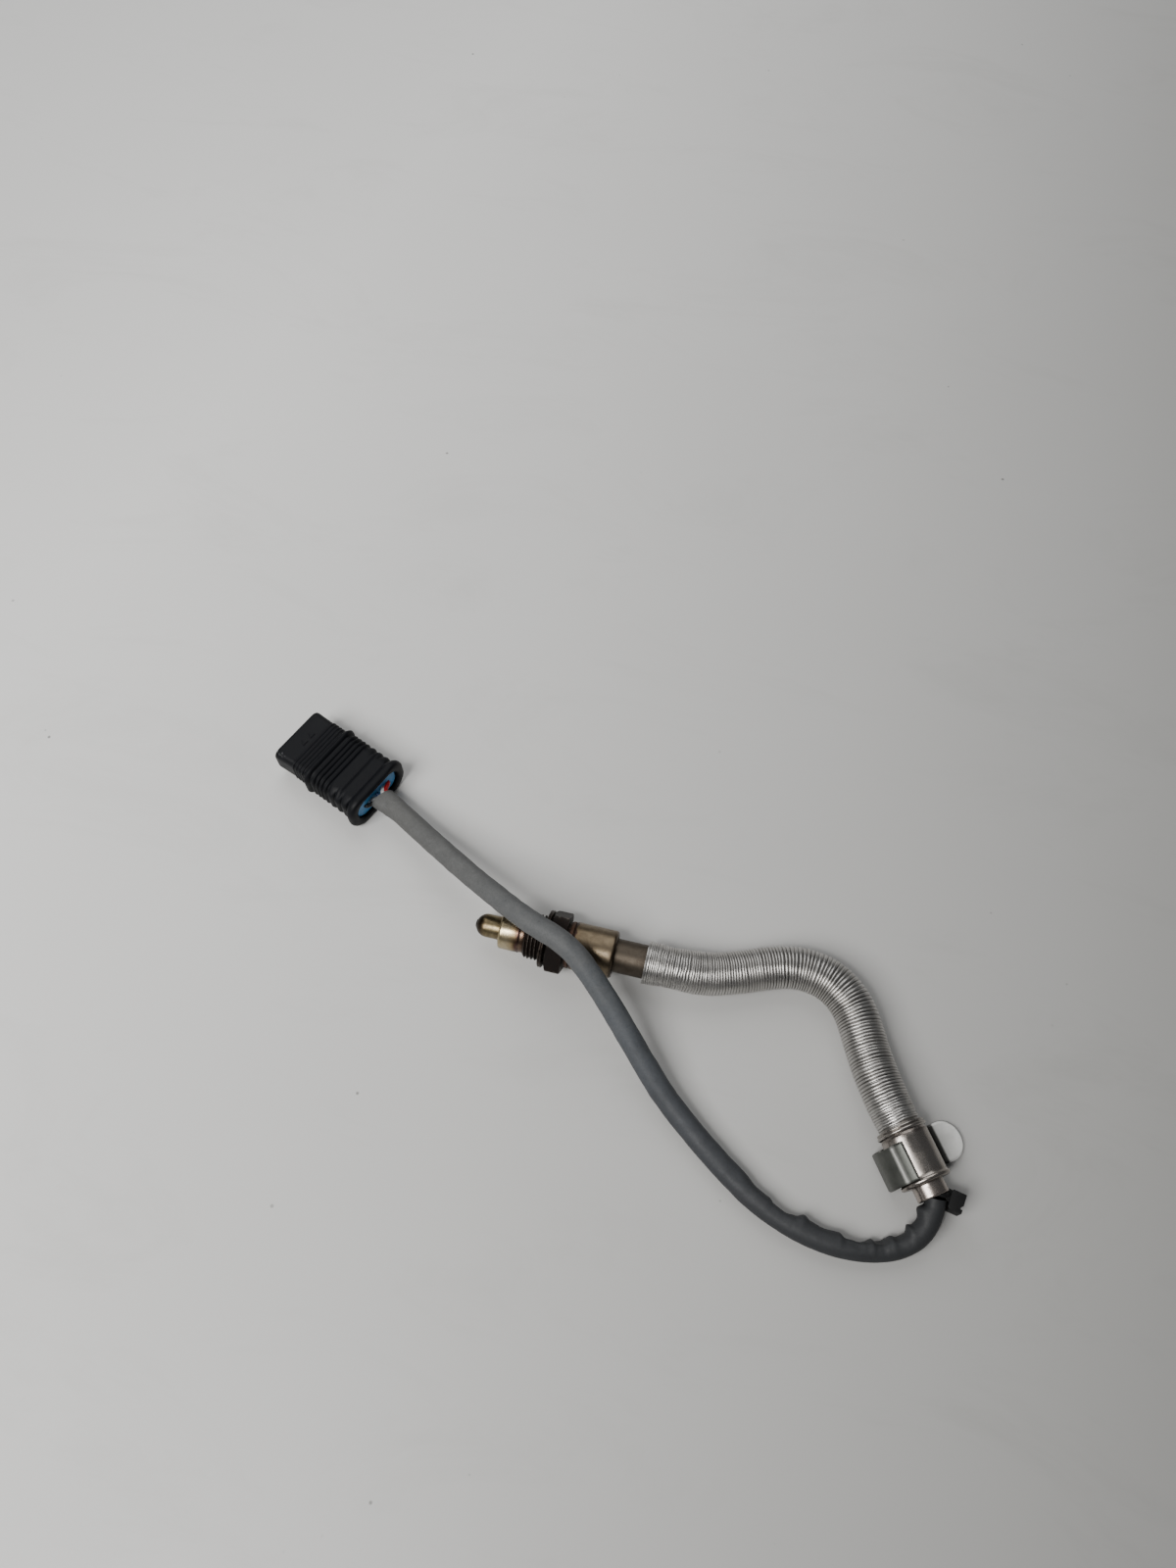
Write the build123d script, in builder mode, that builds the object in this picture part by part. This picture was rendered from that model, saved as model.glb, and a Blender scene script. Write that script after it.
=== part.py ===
from build123d import *
from math import cos, sin, tan, radians, pi
import os

# Oxygen sensor with a corrugated conduit, an end ferrule with a spring clip,
# a sheathed cable and a flat six way connector. It lies on the plane Z = 0.
# +X runs along the sensor from its measuring tip to its cable end, and the
# origin is on the ground, under the middle of the sensor body.

# ------------------------------------------------------------ sensor sizes
axis_z = 11.0            # sensor axis above the ground: half of the hexagon
body_len = 67.7          # tip to the end of the rear collar
x0 = -body_len / 2       # X of the tip

tip_r = 4.6              # small protection tube
tip_wall = 0.4
shield_r = 7.6           # large protection tube
shield_wall = 0.5
thread_r = 9.0           # M18 x 1.5, crest radius
hex_af = 22.0
hex_from, hex_to = 29.8, 36.3
sleeve_r = 9.3           # protective sleeve
sleeve_wall = 0.6
collar_r = 6.55          # rear collar
collar_wall = 0.55
ceramic_r = 5.4

# ---------------------------------------------------------- conduit, cable
hose_d = 16.6
cable_d = 8.8
ferrule_z = 10.2
barrel_r = 8.75
bead_r = 9.4
neck_r = 5.95
clip_t = 1.25            # sheet of the spring clip

hose_route = [
    (33.85, 0.0, 11.0), (44.5, 0.0, 11.0), (57.0, 1.0, 9.4), (69.5, 5.0, 8.6),
    (81.5, 10.3, 8.4), (93.5, 13.0, 8.35), (106.0, 10.2, 8.35), (115.3, 1.6, 8.35),
    (121.3, -12.4, 8.8), (128.3, -26.8, ferrule_z), (136.5, -38.7, ferrule_z),
]

ferrule_len = 26.0
hx, hy, hz = hose_route[-1]
# the ferrule continues the conduit's last run
ferrule_run = ((hx - hose_route[-2][0]) ** 2 + (hy - hose_route[-2][1]) ** 2) ** 0.5
fdx, fdy = (hx - hose_route[-2][0]) / ferrule_run, (hy - hose_route[-2][1]) / ferrule_run
neck_end = (hx + ferrule_len * fdx, hy + ferrule_len * fdy, ferrule_z)

cable_route = [
    neck_end,
    (neck_end[0] + 6.1 * fdx, neck_end[1] + 6.1 * fdy, 10.2),
    (153.2, -72.0, 8.2), (145.5, -79.3, 5.5), (133.0, -84.3, 4.45),
    (115.0, -84.8, 4.45), (93.0, -77.3, 4.45), (69.5, -61.0, 4.6),
    (47.5, -41.0, 8.5), (29.5, -23.0, 20.0), (12.0, -9.5, 34.5),
    (-8.0, -0.8, 35.0), (-27.0, 8.0, 28.0), (-47.0, 19.3, 18.5),
    (-67.0, 31.5, 11.5), (-86.7, 43.8, 9.15),
]

# --------------------------------------------------------------- connector
conn_dir = 157.0         # degrees from +X, the way the socket points
conn_at = (-89.0, 44.8, 9.15)
flange_w, flange_h, flange_t = 32.0, 18.2, 4.2
boot_w, boot_h, boot_end = 27.4, 15.4, 28.5
shell_w, shell_h = 26.0, 13.2
conn_len = 45.2
wire_d = 1.9
wire_pitch = 3.5


def runs_and_radii(points, what):
    """One radius per inner point: 0.45 of the shorter run over tan(half turn)."""
    v = [Vector(*q) - Vector(*p) for p, q in zip(points, points[1:])]
    radii = []
    for a, b in zip(v, v[1:]):
        turn = a.get_angle(b)
        radii.append(0.45 * min(a.length, b.length) / tan(radians(turn / 2)))
    print(what, "runs", [round(a.length, 1) for a in v])
    print(what, "turns", [round(a.get_angle(b), 1) for a, b in zip(v, v[1:])])
    print(what, "radii", [round(r, 1) for r in radii])
    return radii


def axis_plane(s):
    """Half section plane of the sensor at distance s from the tip."""
    return Plane(origin=(x0 + s, 0, axis_z), x_dir=(1, 0, 0), z_dir=(0, -1, 0))


sensor_axis = Axis((0, 0, axis_z), (1, 0, 0))
half = axis_plane(0)     # local x = distance from the tip, local y = radius


def cross(s):
    """Plane across the sensor axis at distance s from the tip."""
    return Plane(origin=(x0 + s, 0, axis_z), x_dir=(0, 1, 0), z_dir=(1, 0, 0))


# =================================================================== sensor
# Small protection tube: a drawn cup with a domed end and one gas hole.
with BuildPart() as tip_tube:
    with BuildSketch(half):
        with BuildLine():
            Polyline((0.0, 0.8), (0.0, 1.7), (0.5, 2.1), (0.9, 2.2))
            ThreePointArc((0.9, 2.2), (1.9, 3.95), (4.1, tip_r))
            Polyline((4.1, tip_r), (17.6, tip_r), (17.6, 6.6), (18.1, 6.6),
                     (18.1, tip_r - tip_wall), (4.2, tip_r - tip_wall))
            ThreePointArc((4.2, tip_r - tip_wall), (2.3, 3.55), (1.4, 2.0))
            Polyline((1.4, 2.0), (1.0, 0.8), (0.0, 0.8))
        make_face()
    revolve(axis=sensor_axis)
tip_tube.part.label = "tip_tube"

# Large protection tube: a cup with a rounded front edge, open for the small
# tube, with a row of gas holes hidden behind the small tube's root.
with BuildPart() as outer_tube:
    with BuildSketch(half):
        with BuildLine():
            Polyline((9.1, tip_r + 0.03), (9.1, shield_r - 1.1))
            ThreePointArc((9.1, shield_r - 1.1), (9.42, shield_r - 0.32), (10.2, shield_r))
            Polyline((10.2, shield_r), (18.4, shield_r), (18.4, shield_r - 0.25),
                     (20.3, shield_r - 0.25), (20.3, shield_r - shield_wall - 0.25),
                     (18.0, shield_r - shield_wall - 0.25),
                     (18.0, shield_r - shield_wall), (9.6, shield_r - shield_wall),
                     (9.6, tip_r + 0.03), (9.1, tip_r + 0.03))
        make_face()
    revolve(axis=sensor_axis)
outer_tube.part.label = "outer_tube"

# Housing: one turned piece with the lead-in, the thread, the undercut for the
# gasket, the wrench hexagon and the crimp collar.
with BuildPart() as sensor_housing:
    with BuildSketch(half):
        with BuildLine():
            Polyline((20.3, ceramic_r), (20.3, 8.0), (20.9, thread_r - 0.5),
                     (21.3, thread_r), (26.7, thread_r), (27.2, 8.1),
                     (hex_from, 8.1), (hex_from, 8.8), (hex_to, 8.8),
                     (hex_to, 8.7), (37.4, 8.7), (37.4, 9.15), (38.6, 9.15),
                     (38.6, 8.65), (41.5, 8.65), (41.5, ceramic_r), (20.3, ceramic_r))
        make_face()
    revolve(axis=sensor_axis)
    with BuildSketch(cross(hex_from)):
        RegularPolygon(radius=hex_af / 2, side_count=6, major_radius=False, rotation=0)
        Circle(ceramic_r + 1.5, mode=Mode.SUBTRACT)
    extrude(amount=hex_to - hex_from)
    # the hexagon's corners are turned off at both ends
    with BuildSketch(half):
        with BuildLine():
            Polyline((hex_from - 0.01, 11.6), (hex_from + 0.75, 12.9),
                     (hex_from + 0.75, 13.5), (hex_from - 0.01, 13.5),
                     (hex_from - 0.01, 11.6))
        make_face()
        with BuildLine():
            Polyline((hex_to + 0.01, 11.6), (hex_to - 0.75, 12.9),
                     (hex_to - 0.75, 13.5), (hex_to + 0.01, 13.5),
                     (hex_to + 0.01, 11.6))
        make_face()
    revolve(axis=sensor_axis, mode=Mode.SUBTRACT)
sensor_housing.part.label = "sensor_housing"

# Captive gasket: loose on the undercut, so it hangs a little high and askew.
gasket_tilt = 2.2
gasket_z = axis_z + 0.44
gs = 28.3
gdir = (cos(radians(gasket_tilt)), sin(radians(-gasket_tilt)), 0)
with BuildPart() as gasket_ring:
    with BuildSketch(Plane(origin=(x0 + gs, 0, gasket_z), x_dir=gdir,
                           z_dir=(sin(radians(-gasket_tilt)), -cos(radians(gasket_tilt)), 0))):
        with Locations((0, (9.15 + 11.4) / 2)):
            RectangleRounded(1.8, 11.4 - 9.15, 0.7)
    revolve(axis=Axis((x0 + gs, 0, gasket_z), gdir))
gasket_ring.part.label = "gasket_ring"

# Protective sleeve: a drawn shell with a rounded shoulder, crimped on the collar.
with BuildPart() as protective_sleeve:
    with BuildSketch(half):
        with BuildLine():
            Polyline((39.0, 8.67), (39.0, 9.1), (39.4, sleeve_r), (53.3, sleeve_r))
            ThreePointArc((53.3, sleeve_r), (54.57, 8.77), (55.1, 7.5))
            Polyline((55.1, 7.5), (55.1, collar_r + 0.02), (54.5, collar_r + 0.02), (54.5, 7.5))
            ThreePointArc((54.5, 7.5), (54.15, 8.35), (53.3, 8.7))
            Polyline((53.3, 8.7), (53.3, 8.67), (39.0, 8.67))
        make_face()
    revolve(axis=sensor_axis)
protective_sleeve.part.label = "protective_sleeve"

# Rear collar: a thin tube that holds the grommet.
with BuildPart() as rear_collar:
    with BuildSketch(half):
        with BuildLine():
            Polyline((50.0, collar_r - collar_wall), (50.0, collar_r), (52.6, collar_r),
                     (52.6, 8.2), (53.2, 8.2), (53.2, collar_r), (body_len, collar_r),
                     (body_len, collar_r - collar_wall), (50.0, collar_r - collar_wall))
        make_face()
    revolve(axis=sensor_axis)
rear_collar.part.label = "rear_collar"

# Planar measuring element: a laminated ceramic strip.
elem_w, elem_t = 4.0, 1.3
with BuildPart() as sensor_element:
    with BuildSketch(cross(3.2)):
        Rectangle(elem_w, elem_t)
    extrude(amount=47.5 - 3.2)
    fillet(sensor_element.edges().filter_by(Axis.X), 0.25)
sensor_element.part.label = "sensor_element"


def bead(s_from, s_to, r, slot_w, slot_t):
    """Round insulator with a slot through it for the element."""
    with BuildPart() as p:
        with BuildSketch(cross(s_from)):
            Circle(r)
            Rectangle(slot_w, slot_t, mode=Mode.SUBTRACT)
        extrude(amount=s_to - s_from)
    return p


front_insulator = bead(20.4, 27.0, ceramic_r - 0.03, elem_w + 0.3, elem_t + 0.3)
front_insulator.part.label = "front_insulator"
powder_seal = bead(27.0, 31.0, ceramic_r - 0.03, elem_w + 0.04, elem_t + 0.04)
powder_seal.part.label = "powder_seal"
rear_insulator = bead(31.0, 41.4, ceramic_r - 0.03, elem_w + 0.3, elem_t + 0.3)
rear_insulator.part.label = "rear_insulator"

# Contact holder: two ceramic halves round the element's end, shown as one ring.
with BuildPart() as contact_holder:
    with BuildSketch(cross(42.0)):
        Circle(5.8)
        Rectangle(6.2, 4.2, mode=Mode.SUBTRACT)
    extrude(amount=10.4)
    chamfer(contact_holder.edges().filter_by(GeomType.CIRCLE), 0.4)
contact_holder.part.label = "contact_holder"

# Six contact springs press on the element's pads, three on each side.
with BuildPart() as contact_springs:
    for side in (1, -1):
        for k in (-1, 0, 1):
            with BuildSketch(Plane(origin=(x0, k * 1.45, axis_z), x_dir=(1, 0, 0), z_dir=(0, -1, 0))):
                with BuildLine():
                    Polyline((43.0, side * 1.7), (44.5, side * 0.72), (46.0, side * 1.5),
                             (53.5, side * 1.6), (53.5, side * 1.9), (46.0, side * 1.8),
                             (44.5, side * 1.05), (43.2, side * 1.95), (43.0, side * 1.7))
                make_face()
            extrude(amount=0.45, both=True)
contact_springs.part.label = "contact_springs"

# Grommet that closes the collar; five leads pass through it.
with BuildPart() as rear_grommet:
    with BuildSketch(cross(55.2)):
        Circle(collar_r - collar_wall - 0.02)
        with PolarLocations(3.3, 5):
            Circle(wire_d / 2 + 0.05, mode=Mode.SUBTRACT)
    extrude(amount=body_len - 0.6 - 55.2)
    chamfer(rear_grommet.faces().sort_by(Axis.X)[-1].outer_wire().edges(), 0.5)
rear_grommet.part.label = "rear_grommet"

# Leads inside the sensor: from the springs through the grommet.
with BuildPart() as sensor_leads:
    with BuildSketch(cross(54.0)):
        with PolarLocations(3.3, 5):
            Circle(wire_d / 2)
    extrude(amount=body_len - 0.3 - 54.0)
sensor_leads.part.label = "sensor_leads"

# ================================================================== conduit
hose_radii = runs_and_radii(hose_route, "conduit")
with BuildPart() as conduit_hose:
    with BuildLine() as hose_line:
        FilletPolyline(*hose_route, radius=hose_radii)
    with BuildSketch(Plane(origin=hose_route[0], z_dir=(1, 0, 0))):
        Circle(hose_d / 2)
    sweep()
conduit_hose.part.label = "conduit_hose"
hose_len = hose_line.wires()[0].length
print("conduit length", round(hose_len, 1), "volume", round(conduit_hose.part.volume, 1),
      "section x length", round(pi * hose_d ** 2 / 4 * hose_len, 1))

# ================================================================== ferrule
# Local x = across (to the left seen from the hose), local y = up,
# local z = along the ferrule away from the hose.
ferr = Plane(origin=(hx, hy, ferrule_z), x_dir=(-fdy, fdx, 0), z_dir=(fdx, fdy, 0))
ferr_axis = Axis((hx, hy, ferrule_z), (fdx, fdy, 0))
ferr_half = Plane(origin=(hx, hy, ferrule_z), x_dir=(fdx, fdy, 0), z_dir=(fdy, -fdx, 0))

with BuildPart() as end_ferrule:
    with BuildSketch(ferr_half):
        with BuildLine():
            Polyline((0.0, 7.0), (0.0, bead_r - 0.5), (0.4, bead_r - 0.15), (0.8, bead_r - 0.5),
                     (1.0, bead_r - 0.5), (1.4, bead_r), (1.9, bead_r), (2.3, barrel_r + 0.1),
                     (2.5, barrel_r - 0.25), (3.0, barrel_r), (18.9, barrel_r),
                     (19.3, bead_r), (20.5, bead_r), (21.0, bead_r - 0.6), (21.0, neck_r + 0.3),
                     (21.3, neck_r), (25.7, neck_r), (26.0, neck_r - 0.3),
                     (26.0, neck_r - 0.7), (20.2, neck_r - 0.7), (20.2, 7.8), (1.0, 7.8),
                     (1.0, 7.0), (0.0, 7.0))
        make_face()
    revolve(axis=ferr_axis)
end_ferrule.part.label = "end_ferrule"

# Rubber bush that fills the ferrule behind its neck and grips the cable core.
with BuildPart() as ferrule_bush:
    with BuildSketch(ferr_half):
        with BuildLine():
            Polyline((9.0, 0), (9.0, 7.75), (20.15, 7.75), (20.15, neck_r - 0.75),
                     (26.0, neck_r - 0.75), (26.0, 0), (9.0, 0))
        make_face()
    revolve(axis=ferr_axis)
ferrule_bush.part.label = "ferrule_bush"

# Spring clip: one folded sheet. A leaf rests on the barrel's shoulder, goes
# straight down beside it, folds under it and ends in a round-ended foot tab.
clip_from, clip_to = 3.6, 18.5
floor_y = 0.08 - ferrule_z           # underside of the sheet, in local y
r_in = barrel_r + 0.12
r_out = r_in + clip_t
a0, a1 = radians(110), radians(186)
with BuildPart() as spring_clip:
    with BuildSketch(ferr.offset(clip_from)):
        with BuildLine():
            am = (a0 + a1) / 2
            p0, pm, p1 = [(r_in * cos(t), r_in * sin(t)) for t in (a0, am, a1)]
            q0, qm, q1 = [(r_out * cos(t), r_out * sin(t)) for t in (a0, am, a1)]
            # below the barrel's waist the side leans out to its fold
            top = floor_y + clip_t
            ThreePointArc(p0, pm, p1)
            Line(p1, (-10.95, top + 0.5))
            Line((-10.95, top + 0.5), (-10.45, top))
            Line((-10.45, top), (10.6, top))
            Line((10.6, top), (12.0, top + 1.2))
            Line((12.0, top + 1.2), (13.2, top + 1.2))
            Line((13.2, top + 1.2), (13.2, floor_y + 1.2))
            Line((13.2, floor_y + 1.2), (12.5, floor_y + 1.2))
            Line((12.5, floor_y + 1.2), (11.1, floor_y))
            Line((11.1, floor_y), (-10.8, floor_y))
            Line((-10.8, floor_y), (-12.2, floor_y + 1.4))
            Line((-12.2, floor_y + 1.4), q1)
            ThreePointArc(q1, qm, q0)
            Line(q0, p0)
        make_face()
    extrude(amount=clip_to - clip_from)
    # foot tab with a rounded end
    tab_mid = (clip_from + clip_to) / 2
    tab_half = (clip_to - clip_from) / 2
    tab_y = ferrule_z + floor_y + 1.2
    with BuildSketch(Plane(origin=(hx, hy, tab_y), x_dir=(fdx, fdy, 0), z_dir=(0, 0, 1))):
        with BuildLine():
            Polyline((clip_to, 13.0), (clip_from, 13.0), (clip_from, 14.6))
            ThreePointArc((clip_from, 14.6), (tab_mid, 21.1), (clip_to, 14.6))
            Line((clip_to, 14.6), (clip_to, 13.0))
        make_face()
    extrude(amount=clip_t)
spring_clip.part.label = "spring_clip"

# ==================================================================== cable
cable_radii = runs_and_radii(cable_route, "cable")
with BuildPart() as cable_sheath:
    with BuildLine() as cable_line:
        FilletPolyline(*cable_route, radius=cable_radii)
    with BuildSketch(Plane(origin=cable_route[0], z_dir=(fdx, fdy, 0))):
        Circle(cable_d / 2)
    sweep()
cable_sheath.part.label = "cable_sheath"
cable_len = cable_line.wires()[0].length
print("cable length", round(cable_len, 1), "volume", round(cable_sheath.part.volume, 1),
      "section x length", round(pi * cable_d ** 2 / 4 * cable_len, 1))

# Moulded holder at the cable's exit: a ring on the cable with a square head at its side.
with BuildPart() as exit_holder:
    with BuildSketch(ferr.offset(ferrule_len + 0.1)):
        Circle(cable_d / 2 + 1.1)
        with Locations((5.2, -1.3)):
            Rectangle(3.4, 6.0)
    extrude(amount=2.2)
    with BuildSketch(Plane(origin=(159.2, -59.6, ferrule_z - 4.3), z_dir=(0, 0, 1))):
        RectangleRounded(5.6, 7.6, 0.5)
        with Locations((2.6, -1.4)):
            Rectangle(1.2, 1.7, mode=Mode.SUBTRACT)
    extrude(amount=6.0)
    # clear of the cable and of the ferrule's neck
    with BuildLine():
        FilletPolyline(*cable_route[:4], radius=cable_radii[:2])
    with BuildSketch(Plane(origin=cable_route[0], z_dir=(fdx, fdy, 0))):
        Circle(cable_d / 2 + 0.1)
    sweep(mode=Mode.SUBTRACT)
    with BuildSketch(ferr.offset(ferrule_len - 6.0)):
        Circle(6.15)
    extrude(amount=6.0, mode=Mode.SUBTRACT)
exit_holder.part.label = "exit_holder"

# ================================================================ connector
cdx, cdy = cos(radians(conn_dir)), sin(radians(conn_dir))
# Local x = across, local y = up, local z = from the cable end to the socket.
conn = Plane(origin=conn_at, x_dir=(-cdy, cdx, 0), z_dir=(cdx, cdy, 0))

seal_w, seal_h = 23.4, 12.6
with BuildPart() as connector_boot:
    with BuildSketch(conn):
        RectangleRounded(flange_w, flange_h, 6.4)
    extrude(amount=flange_t)
    with BuildSketch(conn.offset(flange_t)):
        RectangleRounded(boot_w, boot_h, 4.6)
    extrude(amount=boot_end - flange_t)
    # fine ribs all round, then the thick front rib
    for w in (16.5, 18.8, 21.0, 23.1):
        with BuildSketch(conn.offset(w)):
            RectangleRounded(boot_w + 1.2, boot_h + 1.0, 4.9)
        extrude(amount=1.0)
    with BuildSketch(conn.offset(boot_end - 2.8)):
        RectangleRounded(boot_w + 2.7, boot_h + 1.6, 5.2)
    extrude(amount=2.8)
    # scallops on the two narrow sides, under a flat panel
    for w in (5.5, 9.2, 12.7):
        for side in (1, -1):
            with BuildSketch(conn.offset(w)):
                with Locations((side * (boot_w / 2 - 1.6), 0)):
                    RectangleRounded(4.8, boot_h - 3.6, 2.2)
            extrude(amount=1.7)
    # seat of the wire seal, then the seat of the shell
    with BuildSketch(conn):
        RectangleRounded(seal_w, seal_h, 5.0)
    extrude(amount=9.0, mode=Mode.SUBTRACT)
    with BuildSketch(conn.offset(9.0)):
        RectangleRounded(21.6, 11.0, 3.0)
    extrude(amount=boot_end - 9.0, mode=Mode.SUBTRACT)
connector_boot.part.label = "connector_boot"

wire_x = [(-2 + k) * wire_pitch for k in range(5)]
with BuildPart() as wire_seal:
    with BuildSketch(conn.offset(1.2)):
        RectangleRounded(seal_w - 0.06, seal_h - 0.06, 4.9)
        with Locations(*[(x, 0) for x in wire_x]):
            Circle(wire_d / 2 + 0.04, mode=Mode.SUBTRACT)
    extrude(amount=7.7)
wire_seal.part.label = "wire_seal"

socket_w, socket_h, socket_d = 20.8, 9.6, 11.5
with BuildPart() as connector_shell:
    with BuildSketch(conn.offset(9.05)):
        RectangleRounded(21.5, 10.9, 2.9)
    extrude(amount=boot_end - 9.05)
    with BuildSketch(conn.offset(boot_end)):
        RectangleRounded(shell_w, shell_h, 3.1)
    extrude(amount=conn_len - boot_end)
    for w in (29.7, 31.4, 33.1, 34.8):
        with BuildSketch(conn.offset(w)):
            RectangleRounded(shell_w + 0.7, shell_h + 0.6, 3.4)
        extrude(amount=0.8)
    # socket, open at the front
    with BuildSketch(conn.offset(conn_len - socket_d)):
        RectangleRounded(socket_w, socket_h, 1.8)
    extrude(amount=socket_d, mode=Mode.SUBTRACT)
    # room for the terminal carrier
    with BuildSketch(conn.offset(9.05)):
        RectangleRounded(19.0, 7.6, 1.0)
    extrude(amount=conn_len - socket_d - 9.05, mode=Mode.SUBTRACT)
    # two latch ramps on the broad face
    for x in (-3.6, 3.6):
        with BuildSketch(Plane(origin=conn.from_local_coords(Vector(x - 1.1, shell_h / 2 - 0.2, 37.4)),
                               x_dir=(cdx, cdy, 0), z_dir=(-cdy, cdx, 0))):
            with BuildLine():
                Polyline((0, 0), (3.6, 0), (0, -1.0), (0, 0))
            make_face()
        extrude(amount=2.2)
connector_shell.part.label = "connector_shell"

with BuildPart() as terminal_carrier:
    with BuildSketch(conn.offset(9.2)):
        RectangleRounded(18.9, 7.5, 0.95)
        with Locations(*[(x, 0) for x in wire_x]):
            Circle(wire_d / 2 + 0.04, mode=Mode.SUBTRACT)
    extrude(amount=8.0)
    with BuildSketch(conn.offset(17.2)):
        RectangleRounded(18.9, 7.5, 0.95)
        with Locations(*[((-2.5 + k) * 3.2, 0) for k in range(6)]):
            Rectangle(1.55, 0.85, mode=Mode.SUBTRACT)
    extrude(amount=16.4)
    # slot for the lock slide
    with BuildSketch(conn.offset(20.0)):
        with Locations((0, 3.0)):
            Rectangle(16.2, 1.55)
    extrude(amount=6.0, mode=Mode.SUBTRACT)
terminal_carrier.part.label = "terminal_carrier"

with BuildPart() as lock_slide:
    with BuildSketch(conn.offset(20.1)):
        with Locations((0, 3.0)):
            Rectangle(16.0, 1.4)
    extrude(amount=5.8)
lock_slide.part.label = "lock_slide"

with BuildPart() as terminal_blades:
    for k in range(6):
        with BuildSketch(conn.offset(17.4)):
            with Locations(((-2.5 + k) * 3.2, 0)):
                Rectangle(1.5, 0.8)
        extrude(amount=23.8)
    tips = terminal_blades.faces().sort_by(Axis(conn_at, (cdx, cdy, 0)))[-6:]
    chamfer([e for f in tips for e in f.edges()], 0.2)
terminal_blades.part.label = "terminal_blades"

# Leads between the seal and the sheath's mouth, one colour each.
wires = {}
for k, name in enumerate(["wire_red", "wire_white", "wire_blue", "wire_grey", "wire_black"]):
    x = wire_x[k]
    mouth = Vector((-4.4, -2.0, 0, 2.0, 4.4)[k], (-1.3, 1.4, -1.3, 1.4, -1.3)[k], -1.3)
    with BuildPart() as wire:
        with BuildLine() as wl:
            FilletPolyline(conn.from_local_coords(Vector(x, 0, 15.0)),
                           conn.from_local_coords(Vector(x, 0, 0.3)),
                           conn.from_local_coords(mouth), radius=0.6)
        with BuildSketch(Plane(origin=conn.from_local_coords(Vector(x, 0, 15.0)), z_dir=(-cdx, -cdy, 0))):
            Circle(wire_d / 2)
        sweep()
    wire.part.label = name
    wires[name] = wire

# ==================================================================== files
os.makedirs("parts", exist_ok=True)
pieces = [tip_tube, outer_tube, sensor_housing, gasket_ring, protective_sleeve, rear_collar,
          sensor_element, front_insulator, powder_seal, rear_insulator, contact_holder,
          contact_springs, rear_grommet, sensor_leads, conduit_hose, end_ferrule,
          ferrule_bush, spring_clip, cable_sheath, exit_holder, connector_boot, wire_seal,
          connector_shell, terminal_carrier, lock_slide, terminal_blades, *wires.values()]
for piece in pieces:
    export_step(piece.part, f"parts/{piece.part.label}.step")
print(len(pieces), "pieces written")
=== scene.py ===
import bpy
import bmesh
import random
from math import pi, sin, cos, radians, sqrt, exp, atan2, hypot, floor
from mathutils import Vector, Matrix, noise


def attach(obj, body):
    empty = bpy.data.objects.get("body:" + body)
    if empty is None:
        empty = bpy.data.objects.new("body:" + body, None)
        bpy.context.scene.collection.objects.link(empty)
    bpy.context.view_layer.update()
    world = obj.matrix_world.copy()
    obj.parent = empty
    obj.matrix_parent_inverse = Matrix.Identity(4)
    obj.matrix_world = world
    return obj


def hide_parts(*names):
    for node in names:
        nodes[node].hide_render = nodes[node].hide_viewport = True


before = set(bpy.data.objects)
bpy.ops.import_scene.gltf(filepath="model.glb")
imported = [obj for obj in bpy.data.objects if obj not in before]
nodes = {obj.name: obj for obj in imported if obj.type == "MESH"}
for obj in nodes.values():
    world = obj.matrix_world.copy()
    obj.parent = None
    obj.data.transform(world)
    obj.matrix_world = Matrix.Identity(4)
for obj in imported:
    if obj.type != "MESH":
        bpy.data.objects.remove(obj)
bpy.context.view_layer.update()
MM = 0.001
random.seed(7)

# --------------------------------------------------------------- dimensions
# millimetres, in the part's own frame: +X along the sensor, Z up
AXIS_Z = 11.0
X0 = -33.85
HOSE_D, CABLE_D = 16.6, 8.8
FERR_AT = Vector((136.5, -38.7, 10.2))
FERR_DIR = Vector((8.2, -11.9, 0.0)).normalized()
CONN_AT = Vector((-89.0, 44.8, 9.15))
CONN_DIR = Vector((cos(radians(157)), sin(radians(157)), 0.0))
UP = Vector((0, 0, 1))

hose_route = [
    (33.85, 0.0, 11.0), (44.5, 0.0, 11.0), (57.0, 1.0, 9.4), (69.5, 5.0, 8.6),
    (81.5, 10.3, 8.4), (93.5, 13.0, 8.35), (106.0, 10.2, 8.35), (115.3, 1.6, 8.35),
    (121.3, -12.4, 8.8), (128.3, -26.8, 10.2), (136.5, -38.7, 10.2),
]
# the solid cable's route, with its hump brought down onto the sensor
cable_route = [
    (151.25, -60.11, 10.2), (151.6, -69.9, 7.2), (141.8, -79.7, 3.8), (123.5, -83.4, 4.7),
    (107.8, -81.3, 4.4), (91.8, -75.7, 4.45), (78.0, -67.2, 4.5), (64.4, -57.5, 5.3),
    (51.4, -47.5, 7.6), (39.9, -36.6, 11.8), (28.7, -25.5, 17.0), (17.3, -15.3, 23.1),
    (4.7, -6.0, 28.7), (-11.4, -0.7, 28.0), (-25.3, 7.1, 23.7), (-38.9, 15.0, 19.0),
    (-52.6, 23.4, 15.6), (-66.4, 32.1, 11.7), (-79.6, 40.2, 9.7), (-87.0, 43.9, 9.15),
]


# ---------------------------------------------------------------- materials
def N(nt, kind, inputs=None, **attrs):
    n = nt.nodes.new("ShaderNode" + kind)
    for k, v in attrs.items():
        setattr(n, k, v)
    for k, v in (inputs or {}).items():
        if isinstance(v, bpy.types.NodeSocket):
            nt.links.new(v, n.inputs[k])
        else:
            n.inputs[k].default_value = v
    return n


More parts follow.
